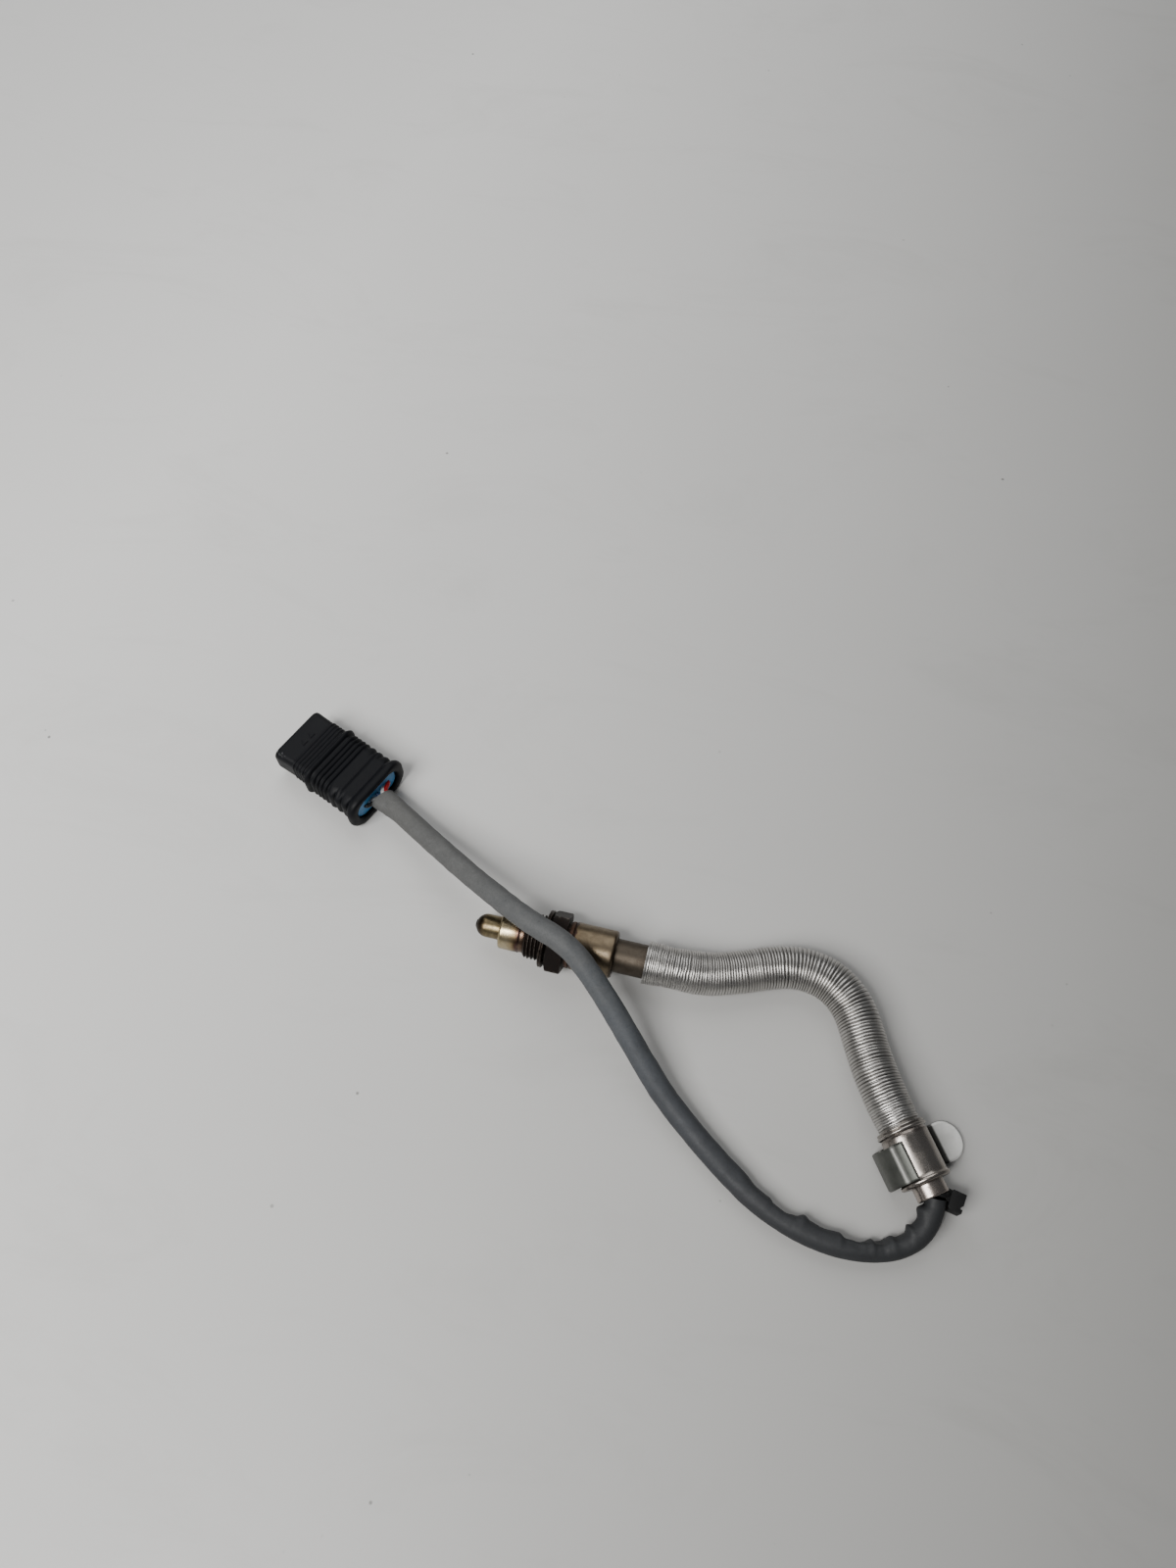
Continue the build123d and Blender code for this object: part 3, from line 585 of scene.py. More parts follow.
def gasket():
    """A folded sheet ring, loose and a little askew on its undercut."""
    seg = 144
    tilt = radians(2.2)
    d = Vector((cos(tilt), -sin(tilt), 0))
    across = Vector((sin(tilt), cos(tilt), 0))
    centre = Vector((X0 + 28.3, 0, AXIS_Z + 0.44))
    section = [(-0.86, 9.3), (-0.9, 9.9), (-0.88, 10.6), (-0.74, 11.1), (-0.42, 11.33), (-0.12, 11.22),
               (0.0, 11.05), (0.12, 11.22), (0.45, 11.34), (0.75, 11.12), (0.89, 10.6), (0.9, 9.9),
               (0.84, 9.35), (0.6, 9.18), (0.2, 9.3), (0.05, 9.75), (-0.1, 9.3), (-0.55, 9.17)]
    rings = []
    for s, r in section:
        ring = []
        for j in range(seg):
            a = 2 * pi * j / seg
            wave = 0.07 * noise.noise(Vector((cos(a) * 2.3, sin(a) * 2.3, s)))
            rr = r + 0.05 * noise.noise(Vector((cos(a) * 3.0, sin(a) * 3.0, 5.0)))
            p = centre + d * (s + wave) + across * (rr * cos(a)) + UP * (rr * sin(a))
            ring.append(tuple(p))
        rings.append(ring)
    v, f = skin(rings)
    return build("gasket_skin", v, f, mat_gasket, "gasket_ring", 60.0)


gasket()

sleeve_profile = ([(39.0, 8.68), (39.0, 9.08), (39.2, 9.24), (39.5, 9.3)]
                  + [(39.5 + 1.0 * k, 9.3) for k in range(1, 15)]
                  + [(54.45 + 1.15 * sin(radians(t)), 8.15 + 1.15 * cos(radians(t))) for t in range(0, 91, 9)]
                  + [(55.6, 7.1), (55.45, 6.75), (55.2, 6.6), (54.9, 6.6), (54.9, 7.6), (54.6, 8.3), (53.8, 8.68),
                     (46.0, 8.68)])
lathe_sensor("sleeve_skin", sleeve_profile, mat_sleeve, "protective_sleeve", seg=144, ease=0.06,
             lump=0.05)
collar_profile = ([(50.0, 6.0), (50.0, 6.55), (52.6, 6.55), (52.6, 8.2), (53.2, 8.2), (53.2, 6.55)]
                  + [(53.6 + 1.0 * k, 6.55) for k in range(1, 17)]
                  + [(71.2, 6.55), (71.35, 6.4), (71.35, 6.15), (71.2, 6.0)]
                  + [(70.0 - 1.9 * k, 6.0) for k in range(0, 10)])
lathe_sensor("collar_skin", collar_profile, mat_collar, "rear_collar", seg=120, ease=0.06, lump=0.05)


# ----------------------------------------------------------- cords: the lines
def route_line(name, route):
    cu = bpy.data.curves.new(name, "CURVE")
    cu.dimensions = "3D"
    sp = cu.splines.new("NURBS")
    sp.points.add(len(route) - 1)
    for p, q in zip(sp.points, route):
        p.co = (q[0] * MM, q[1] * MM, q[2] * MM, 1.0)
    sp.order_u = 3
    sp.use_endpoint_u = True
    cu.resolution_u = 64
    ob = bpy.data.objects.new(name, cu)
    me = bpy.data.meshes.new_from_object(ob)
    pts = [v.co / MM for v in me.vertices]
    bpy.data.meshes.remove(me)
    bpy.data.objects.remove(ob)
    bpy.data.curves.remove(cu)
    return pts


class Line:
    """Position and a steady, untwisted frame at any distance along a read line."""

    def __init__(self, pts):
        self.p = pts
        self.s = [0.0]
        for a, b in zip(pts, pts[1:]):
            self.s.append(self.s[-1] + (b - a).length)
        self.length = self.s[-1]
        self.t = []
        for i in range(len(pts)):
            a, b = pts[max(0, i - 1)], pts[min(len(pts) - 1, i + 1)]
            self.t.append((b - a).normalized())
        side = UP.cross(self.t[0]).normalized()
        self.n = [side]
        for i in range(1, len(pts)):
            q = self.t[i - 1].rotation_difference(self.t[i])
            side = q @ side
            side = (side - self.t[i] * side.dot(self.t[i])).normalized()
            self.n.append(side)
        self.i = 0

    def at(self, s):
        s = max(0.0, min(self.length, s))
        i = min(self.i, len(self.s) - 2)
        while i > 0 and self.s[i] > s:
            i -= 1
        while i < len(self.s) - 2 and self.s[i + 1] < s:
            i += 1
        self.i = i
        k = (s - self.s[i]) / max(1e-9, self.s[i + 1] - self.s[i])
        p = self.p[i].lerp(self.p[i + 1], k)
        t = self.t[i].lerp(self.t[i + 1], k).normalized()
        n = self.n[i].lerp(self.n[i + 1], k)
        n = (n - t * n.dot(t)).normalized()
        return p, t, n, t.cross(n)


def keyed(keys, s):
    """Smooth value between (distance, value) keys."""
    if s <= keys[0][0]:
        return keys[0][1]
    for (a, u), (b, v) in zip(keys, keys[1:]):
        if s <= b:
            k = (s - a) / (b - a)
            k = k * k * (3 - 2 * k)
            return u + (v - u) * k
    return keys[-1][1]


# ------------------------------------------------------------------ conduit
def conduit():
    line = Line(route_line("conduit_line", hose_route))
    L = line.length
    seg = 56
    stations = []            # (distance, phase inside its fold, fold number)
    s, fold = 0.9, 0
    rnd = random.Random(11)
    for k in range(3):
        stations.append((0.3 * k, None, -1))
    while s < L - 0.5:
        pitch = keyed([(0, 0.72), (4.5, 0.78), (9, 0.92), (26, 1.0), (44, 1.12), (60, 1.38), (84, 1.42), (100, 1.22), (118, 1.15),
                       (126, 0.95), (140, 0.9)], s) * rnd.uniform(0.93, 1.07)
        for k in range(8):
            stations.append((s + pitch * k / 8, k / 8, fold))
        s += pitch
        fold += 1
    stations = [q for q in stations if q[0] < L - 0.25] + [(L - 0.12, None, -2), (L, None, -2)]
    tilt_a = [rnd.uniform(0, 2 * pi) for _ in range(fold + 1)]
    tilt_m = [rnd.gauss(0, 0.011) for _ in range(fold + 1)]
    deep = [rnd.uniform(0.82, 1.12) for _ in range(fold + 1)]
    rings, crest, path = [], [], []
    for s, ph, fo in stations:
        p, t, n, b = line.at(s)
        radius = keyed([(0, 8.42), (1.2, 8.3), (4.4, 8.22), (8.0, 7.92), (13, 8.0), (20, 8.38), (30, 8.3),
                        (60, 8.3), (110, 8.28), (123, 8.2), (128, 8.02), (L - 1.2, 7.9), (L, 7.1)], s)
        depth = keyed([(0, 0.13), (4.6, 0.16), (9, 0.28), (22, 0.34), (45, 0.36), (60, 0.42), (96, 0.42), (118, 0.38),
                       (125, 0.30), (140, 0.22)], s)
        crumple = keyed([(0, 0.12), (3.5, 0.25), (6, 0.6), (16, 0.6), (24, 0.3), (34, 0.12), (60, 0.05), (118, 0.10),
                         (124, 0.45), (129, 0.6), (L, 0.3)], s)
        valley = 0.0
        if ph is not None:
            valley = ((1 + cos(2 * pi * ph)) / 2) ** 2.2
        ring = []
        for j in range(seg):
            a = 2 * pi * j / seg
            ca, sa = cos(a), sin(a)
            q = Vector((ca * 2.2, sa * 2.2, s * 0.16))
            wide = noise.noise(q)
            tight = noise.noise(Vector((ca * 5.2, sa * 5.2, s * 0.62)))
            slip = 0.42 * crumple * noise.noise(Vector((ca * 3.3, sa * 3.3, s * 0.33 + 9.0)))
            lean = tilt_m[fo] * cos(a - tilt_a[fo]) * 8.3 if fo >= 0 else 0.0
            fade = 1.0 - 0.55 * crumple * (0.5 + 0.5 * noise.noise(Vector((ca * 4, sa * 4, s * 0.5 + 3.0))))
            v = valley * deep[max(0, fo)] * fade
            r = radius - depth * v + 0.10 * wide + 0.30 * crumple * tight
            # a flat foil patch pressed onto the last folds, on the upper side
            if s > L - 8.5 and s < L - 1.0:
                patch = 0.5 * max(0.0, cos(a - 1.1)) ** 3 * min(1.0, (s - (L - 8.5)) / 1.2)
                r += patch * (0.12 + depth * v * 0.9)
            w = p + n * (r * ca) + b * (r * sa) + t * (slip + lean)
            if w.z < 0.02:
                w.z = 0.02
            ring.append(tuple(w))
            crest.append(1.0 - v if ph is not None else 0.85)
        rings.append(ring)
        path.append(tuple(p * MM))
    # open mouth at the sensor: wall thickness, then a recess that ends in a floor; the recess and its floor are
    # painted with the darkest valley colour, painted shade
    mouth = []
    for s, r, c in ((0.0, 7.95, 0.6), (0.8, 7.8, 0.2), (2.0, 7.7, 0.05), (3.6, 7.65, 0.0)):
        p, t, n, b = line.at(s)
        mouth.append([tuple(p + n * (r * cos(2 * pi * j / seg)) + b * (r * sin(2 * pi * j / seg)))
                      for j in range(seg)])
    rings = mouth[::-1] + rings
    # painted shade: the recess rings and their floor take the darkest value
    crest = [0.0] * (seg * 3) + [0.3] * seg + crest
    v, f = skin(rings, closed=False, cap_start=True, cap_end=True)
    ob = build("conduit_skin", v, f, mat_conduit, "conduit_hose", 50.0, {"wear_and_valley_shade": crest})
    return ob, path, line


conduit_ob, conduit_path, conduit_line = conduit()


# -------------------------------------------------------------------- cable
def cable():
    line = Line(route_line("cable_line", cable_route))
    L = line.length
    seg = 44
    count = 620
    # inner edge of the sheath between the ferrule and the first bend: pinches and swells
    kinks = [(0, -0.3), (2.8, -1.3), (5.5, 0.5), (9.9, -0.75), (12.9, -0.5), (15.2, 0.6), (18.6, -1.3),
             (21.8, -1.4), (24.3, -0.45), (26.3, -1.0), (28.3, -2.1), (30.2, -1.9), (32.0, -0.9), (34.4, -1.9),
             (37.5, -3.0), (41.2, -2.6), (44.0, -0.3), (50.5, -0.6), (55.3, -0.2), (58.0, 0.6), (61.2, -1.0),
             (65.0, -1.9), (69.3, -1.6), (72.0, -0.7), (77.0, -0.7), (86.0, 0.0), (400, 0.0)]
    rings, along, path = [], [], []
    for i in range(count + 1):
        s = L * i / count
        p, t, n, b = line.at(s)
        # the concave side, from the turn of the line over a few millimetres
        t0 = line.at(max(0.0, s - 7))[1]
        t1 = line.at(min(L, s + 7))[1]
        p, t, n, b = line.at(s)
        bend = t1 - t0
        bend = bend - t * bend.dot(t)
        lean = bend.normalized() if bend.length > 0.02 else Vector((0, 0, 0))
        k = 1.16 * keyed(kinks, s)
        flare = keyed([(L - 11.0, 0.0), (L - 5.0, 0.6), (L - 1.0, 1.0), (L, 0.9)], s)
        uneven = keyed([(70, 0.4), (84, 1.0), (250, 1.0), (280, 0.5)], s)
        ring = []
        for j in range(seg):
            a = 2 * pi * j / seg
            ca, sa = cos(a), sin(a)
            out = n * ca + b * sa
            inner = max(0.0, out.dot(lean))
            r = CABLE_D / 2 + 0.02
            r += k * inner ** 1.6
            # soft creases reach a little over the top of each pinch
            if s < 90:
                r += 0.26 * min(0.0, k + 0.5) * (1 - abs(out.dot(lean))) ** 2
            ribs = keyed([(60, 0.0), (74, 1.0), (98, 1.0), (118, 0.0), (172, 0.0), (178, 0.8), (196, 0.8), (204, 0.0)], s)
            r += 0.035 * ribs * sin(2 * pi * s / 1.35) * (0.6 + 0.4 * noise.noise(Vector((ca * 2, sa * 2, s * 0.1))))
            r += 0.09 * noise.noise(Vector((ca * 1.6, sa * 1.6, s * 0.07)))
            r += 0.16 * uneven * noise.noise(Vector((ca * 1.2, sa * 1.2, s * 0.21 + 40.0)))
            r += 0.035 * noise.noise(Vector((ca * 4.2, sa * 4.2, s * 0.4)))
            # mouth: widened across the plug, flattened in height
            up = out.z
            wide = sqrt(max(0.0, 1 - up * up))
            south = out.dot(Vector((-0.3907, -0.9205, 0.0)))
            r += flare * ((0.75 + 0.25 * south) * wide ** 1.5 - 0.85 * abs(up) ** 1.5)
            r += flare * 0.12 * noise.noise(Vector((ca * 2.5, sa * 2.5, 4.0)))
            w = p + out * r
            # the end is cut slantwise
            w += t * (keyed([(L - 5.0, 0.0), (L, 1.0), (400, 1.0)], s) * (0.3 + 0.85 * south))
            if w.z < 0.02:
                w.z = 0.02 + 0.05 * (w.z - 0.02)
                w.z = max(0.005, w.z)
            ring.append(tuple(w))
            along.append(i / count)
        rings.append(ring)
        path.append(tuple(p * MM))
    # open mouth at the plug, with a wall of about a millimetre
    n_out = len(rings)
    for back, inset in ((0.05, 0.35), (0.25, 0.85), (2.2, 1.05), (6.5, 1.25)):
        s = L - back
        p, t, n, b = line.at(s)
        src = rings[min(n_out - 1, round(s / L * count))]
        ring = []
        for q in src:
            w = Vector(q)
            d = w - p
            d = d - t * d.dot(t)
            ring.append(tuple(p + d * max(0.1, (d.length - inset) / d.length)))
            along.append(1.0)
        rings.append(ring)
    v, f = skin(rings, closed=False, cap_start=True, cap_end=True)
    ob = build("sheath_skin", v, f, mat_sheath, "cable_sheath", 60.0, {"along": along})
    return ob, path, line


cable_ob, cable_path, cable_line = cable()


# ------------------------------------------------------------------ ferrule
F_X = Vector((-FERR_DIR.y, FERR_DIR.x, 0.0))      # to the north-east side
F_Y = UP


def on_ferrule(x, y, z):
    return tuple(FERR_AT + F_X * x + F_Y * y + FERR_DIR * z)


def ferrule():
    seg = 136
    profile = [(0.0, 7.05), (0.0, 8.55), (0.1, 8.95), (0.35, 9.12), (0.62, 9.1), (0.85, 8.86), (1.0, 8.82),
               (1.2, 9.12), (1.5, 9.34), (1.85, 9.36), (2.15, 9.18), (2.35, 8.85), (2.6, 8.5), (2.85, 8.52),
               (3.1, 8.72), (3.5, 8.76)]
    profile += [(3.5 + 1.1 * k, 8.75) for k in range(1, 14)]
    profile += [(18.7, 8.76), (19.0, 8.9), (19.3, 9.22), (19.7, 9.38), (20.2, 9.36), (20.6, 9.1), (20.85, 8.5),
                (20.95, 7.3), (21.0, 6.4), (21.2, 6.02), (21.6, 5.95)]
    profile += [(21.6 + 0.6 * k, 5.95) for k in range(1, 6)]
    profile += [(25.0, 5.95), (25.55, 5.98), (25.85, 5.85), (26.0, 5.55), (25.9, 5.25), (25.0, 5.25), (22.0, 5.25),
                (20.3, 5.3), (20.1, 7.75), (10.0, 7.85), (1.1, 7.85), (1.0, 7.05)]
    rings = []
    for s, r in profile:
        ring = []
        for j in range(seg):
            a = 2 * pi * j / seg
            rr = r + 0.05 * noise.noise(Vector((s * 0.18, cos(a) * 1.5, sin(a) * 1.5)))
            if 3.4 < s < 18.8:
                rr += 0.03 * noise.noise(Vector((s * 0.5, cos(a) * 4.0, sin(a) * 4.0)))
            ring.append(on_ferrule(rr * cos(a), rr * sin(a), s))
        rings.append(ring)
    v, f = skin(rings)
    return build("ferrule_skin", v, f, mat_ferrule, "end_ferrule", 40.0)


ferrule_ob = ferrule()


def clip():
    """Folded spring sheet: a leaf on the barrel's shoulder, a side, a floor and a half round foot."""
    th = 1.15
    r_mid = 8.75 + 0.14 + th / 2
    low = 0.12 - FERR_AT.z + th / 2
    line = []
    for t in range(117, 143, 3):
        line.append((r_mid * cos(radians(t)), r_mid * sin(radians(t))))
    line += [(-8.3, 5.2), (-9.3, 3.9), (-10.4, 2.0), (-11.2, 0.0), (-11.5, -1.6), (-11.45, -4.0), (-11.3, -7.0), (-11.2, -8.2),
             (-10.9, -9.0), (-10.3, -9.4), (-9.4, low), (-6.0, low), (0.0, low), (6.0, low), (9.6, low), (10.9, low + 0.12),
             (11.9, low + 0.6), (12.7, low + 1.05), (13.6, low + 1.2), (15.0, low + 1.2), (21.9, low + 1.2)]
    # even steps along the section, eased through its folds
    pts = [Vector((x, y, 0)) for x, y in line]
    for _ in range(2):
        pts = [pts[0]] + [q for a, b in zip(pts, pts[1:]) for q in (a.lerp(b, 0.25), a.lerp(b, 0.75))] + [pts[-1]]
    s = [0.0]
    for a, b in zip(pts, pts[1:]):
        s.append(s[-1] + (b - a).length)
    total = s[-1]

    def section(d):
        d = max(0.0, min(total, d))
        i = 0
        while i < len(s) - 2 and s[i + 1] < d:
            i += 1
        k = (d - s[i]) / max(1e-9, s[i + 1] - s[i])
        a, b = pts[max(0, i - 1)], pts[min(len(pts) - 1, i + 2)]
        tan = (b - a).normalized()
        return pts[i].lerp(pts[i + 1], k), Vector((-tan.y, tan.x, 0))

    tab_start = total - 6.3
    cols, rows_n = 30, 150

    def edges(d, p):
        """Lower and upper limit along the ferrule at this place of the section."""
        if d > tab_start:
            k = min(1.0, (d - tab_start) / 6.3)
            half = 7.3 * sqrt(max(0.0, 1 - k ** 2.1))
            return 9.8 - half, 9.8 + half
        top = keyed([(0, 5.3), (9, 5.5), (14, 5.2), (26, 4.1), (36, 4.05), (tab_start - 13, 4.05),
                     (tab_start - 7, 2.5), (400, 2.5)], d)
        end = keyed([(0, 19.0), (14, 19.05), (26, 18.0), (tab_start - 13, 17.9), (tab_start - 7, 17.1),
                     (400, 17.1)], d)
        return top, end

    def thickness(d):
        return th / 2

    dimples = [(3.0, 16.7, 0.45, 0.55), (11.5, 6.5, 0.4, 0.6), (11.5, 17.6, 0.4, 0.6)]
    verts, faces = [], []
    grid = {}
    for side in (1, -1):
        for i in range(rows_n + 1):
            d = total * i / rows_n
            if i == rows_n:
                d = total - 0.06
            p, nrm = section(d)
            lo, hi = edges(d, p)
            for j in range(cols + 1):
                z = lo + (hi - lo) * j / cols
                off = th / 2
                # rounded sheet edges
                edge = min(z - lo, hi - z)
                end = min(d, total - d)
                e = min(edge, end)
                if e < 0.3:
                    off = th / 2 - 0.3 + sqrt(max(0.0, 0.09 - (0.3 - e) ** 2))
                press = 0.0
                for dd, dz, rad, deep in dimples:
                    q = hypot(d - dd, z - dz) / rad
                    if q < 1.6:
                        press += deep * exp(-(q * 1.3) ** 2)
                outward = -1 if side == 1 else 1
                shift = off * outward
                if side == 1:
                    shift += press * 0.55
                w = p - nrm * shift * -1 if False else p + nrm * (-shift)
                grid[side, i, j] = len(verts)
                verts.append(on_ferrule(w.x, w.y, z))
    for side in (1, -1):
        for i in range(rows_n):
            for j in range(cols):
                q = (grid[side, i, j], grid[side, i, j + 1], grid[side, i + 1, j + 1], grid[side, i + 1, j])
                faces.append(q if side == 1 else q[::-1])
    for i in range(rows_n):
        for j in (0, cols):
            q = (grid[1, i, j], grid[1, i + 1, j], grid[-1, i + 1, j], grid[-1, i, j])
            faces.append(q if j == 0 else q[::-1])
    for j in range(cols):
        for i in (0, rows_n):
            q = (grid[1, i, j], grid[1, i, j + 1], grid[-1, i, j + 1], grid[-1, i, j])
            faces.append(q[::-1] if i == 0 else q)
    return build("clip_skin", verts, faces, mat_clip, "spring_clip", 42.0)


clip_ob = clip()


# -------------------------------------------------------------- exit holder
def block_mesh(name, corners, z0, z1, bevel=0.35):
    """Prism of a plan outline with bevelled edges, in ferrule coordinates."""
    bm = bmesh.new()
    low = [bm.verts.new(Vector(on_ferrule(x, z0, z)) * MM) for x, z in corners]
    high = [bm.verts.new(Vector(on_ferrule(x, z1, z)) * MM) for x, z in corners]
    n = len(corners)
    bm.faces.new(low[::-1])
    bm.faces.new(high)
    for i in range(n):
        bm.faces.new((low[i], low[(i + 1) % n], high[(i + 1) % n], high[i]))
    bmesh.ops.recalc_face_normals(bm, faces=bm.faces)
    bmesh.ops.bevel(bm, geom=list(bm.edges), offset=bevel * MM, segments=3, profile=0.6, affect="EDGES",
                    clamp_overlap=True)
    me = bpy.data.meshes.new(name)
    bm.to_mesh(me)
    bm.free()
    return me


def join_meshes(name, meshes, mat, node, sharp=40.0):
    bm = bmesh.new()
    for me in meshes:
        bm.from_mesh(me)
    bmesh.ops.recalc_face_normals(bm, faces=bm.faces)
    out = bpy.data.meshes.new(name)
    bm.to_mesh(out)
    bm.free()
    for me in meshes:
        bpy.data.meshes.remove(me)
    out.shade_smooth()
    out.set_sharp_from_angle(angle=radians(sharp))
    ob = bpy.data.objects.new(name, out)
    bpy.context.scene.collection.objects.link(ob)
    out.materials.append(mat)
    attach(ob, "root")
    if node:
        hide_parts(node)
    return ob


def holder():
    seg = 96
    prof = eased([(26.05, 4.6), (26.05, 5.3), (26.35, 5.5), (27.3, 5.45), (27.6, 5.1), (27.6, 4.6)], 0.15)
    rings = []
    for s, r in prof:
        out = []
        for j in range(seg):
            a = 2 * pi * j / seg
            k = max(0.0, min(1.0, (cos(a) + 0.25) / 0.8))
            k = k * k * (3 - 2 * k)
            out.append(on_ferrule(r * cos(a) * (0.93 + 0.07 * k), r * sin(a) * (0.93 + 0.07 * k),
                                  25.6 + (s - 26.05) * (0.12 + 0.88 * k) + 0.45 * k))
        rings.append(out)
    v, f = skin(rings)
    ring = bpy.data.meshes.new("ring")
    ring.from_pydata([tuple(c * MM for c in q) for q in v], [], f)
    # square head beside the cable, with a notch in its far side and a foot towards the ring
    at = Vector((158.9, -59.85, 0))
    c, si = cos(radians(11)), sin(radians(11))

    def head(u, w):
        u, w = u * c + w * si, w * c - u * si
        d = at + Vector((u, w, 0)) - FERR_AT
        return d.dot(F_X), d.dot(FERR_DIR)

    body = block_mesh("head", [head(*q) for q in ((-2.1, 3.5), (-2.6, 2.9), (-2.5, -2.8), (-1.8, -3.5), (2.6, -3.5),
                                                  (2.6, -2.0), (1.8, -2.0), (1.8, -0.7), (2.6, -0.7), (2.6, 3.5))],
                      -4.25, 1.65, 0.26)
    foot = block_mesh("foot", [head(*q) for q in ((-5.6, 2.2), (-4.9, 3.4), (-2.3, 3.2), (-2.3, -1.2), (-3.6, -1.0))],
                      -3.6, 0.9, 0.22)
    return join_meshes("holder_skin", [ring, body, foot], mat_holder, "exit_holder")


holder_ob = holder()


# ---------------------------------------------------------------- connector
C_X = Vector((-CONN_DIR.y, CONN_DIR.x, 0.0))
C_Y = UP


def on_conn(x, y, z):
    return tuple(CONN_AT + C_X * x + C_Y * y + CONN_DIR * z)


def rrect(w, h, r, n=120):
    """n points round a rounded rectangle, the same places on every ring."""
    r = min(r, w / 2 - 0.01, h / 2 - 0.01)
    out = []
    per = n // 4
    flat_n = per // 2
    corners = [(1, 1, 0), (-1, 1, 90), (-1, -1, 180), (1, -1, 270)]
    for sx, sy, a0 in corners:
        cx, cy = sx * (w / 2 - r), sy * (h / 2 - r)
        for k in range(per - flat_n + 1):
            a = radians(a0 + 90 * k / (per - flat_n))
            out.append((cx + r * cos(a), cy + r * sin(a)))
        # points along the flat that follows the corner
        nx = [(-1, 1), (-1, -1), (1, -1), (1, 1)][corners.index((sx, sy, a0))]
        ex, ey = nx[0] * (w / 2 - r), nx[1] * (h / 2 - r)
        a = radians(a0 + 90)
        p0 = Vector((cx + r * cos(a), cy + r * sin(a)))
        p1 = Vector((ex + r * cos(a), ey + r * sin(a)))
        for k in range(1, flat_n):
            q = p0.lerp(p1, k / flat_n)
            out.append((q.x, q.y))
    return out


def loft(name, stations, mat, node, sharp=35.0, shape=None):
    """stations: (z, w, h, r); rings of rounded rectangles, closed on itself."""
    rings = []
    for st in stations:
        z, w, h, r = st
        ring = []
        for x, y in rrect(w, h, r):
            if shape:
                x, y, zz = shape(x, y, z, w, h)
            else:
                zz = z
            ring.append(on_conn(x, y, zz))
        rings.append(ring)
    v, f = skin(rings)
    return build(name, v, f, mat, node, sharp)


def half_round(z0, z1, base, proud, steps=6):
    """Stations across a rounded rib between z0 and z1."""
    w, h, r = base
    out = []
    for k in range(steps + 1):
        t = k / steps
        bump = proud * sin(pi * t) ** 0.65
        out.append((z0 + (z1 - z0) * t, w + 2 * bump, h + 2 * bump * 0.85, r + bump * 0.5))
    return out


def boot():
    st = [(0.75, 24.0, 11.7, 5.0), (0.3, 24.5, 12.2, 5.2), (0.05, 25.6, 13.4, 5.6), (0.0, 27.6, 15.6, 6.2),
          (0.15, 29.6, 17.1, 6.6), (0.55, 31.0, 17.8, 6.8), (1.2, 31.8, 18.1, 7.0), (2.1, 32.0, 18.2, 7.0),
          (3.0, 31.6, 17.9, 6.9), (3.7, 30.6, 17.1, 6.6), (4.15, 29.2, 16.2, 6.0), (4.4, 27.9, 15.6, 5.2),
          (4.75, 26.6, 15.4, 4.8)]
    # three scallops on the narrow sides, under a flat panel
    for z0 in (4.95, 8.55, 12.15):
        for k in range(0, 13):
            t = k / 12
            st.append((z0 + 3.4 * t, 26.0 + 2.7 * sin(pi * t) ** 0.55, 15.4, 4.7))
    st += [(15.85, 26.3, 15.35, 4.7)]
    for c in (17.0, 19.3, 21.5, 23.6):
        st += half_round(c - 0.78, c + 0.78, (26.7, 14.9, 4.6), 0.9)
        st.append((c + 1.05, 26.7, 14.9, 4.6))
    st += half_round(25.5, 28.3, (27.2, 15.0, 4.8), 1.45, 10)
    st += [(28.45, 26.9, 14.3, 4.2), (28.5, 26.2, 13.35, 3.3), (28.5, 22.2, 11.6, 3.0), (9.0, 21.62, 11.02, 3.0),
           (9.0, 23.4, 12.6, 5.0), (4.0, 23.42, 12.62, 5.0), (1.3, 23.5, 12.7, 5.0)]

    def shape(x, y, z, w, h):
        # the scallops only swell the narrow sides, and die out under the broad faces
        if 4.9 < z < 15.9 and w > 25.0:
            k = max(0.0, min(1.0, (h / 2 - abs(y)) / 2.6))
            k = 0.22 + 0.78 * k * k * (3 - 2 * k)
            base = 26.1 / w
            x *= base + (1 - base) * k
            # one shallow crease across each broad face
            y *= 1 - 0.045 * exp(-((z - 10.2) / 0.4) ** 2) * max(0.0, min(1.0, (abs(y) - 5.0) / 2.0))
        return x, y, z

    return loft("boot_skin", st, mat_boot, "connector_boot", 40.0, shape)


boot_ob = boot()


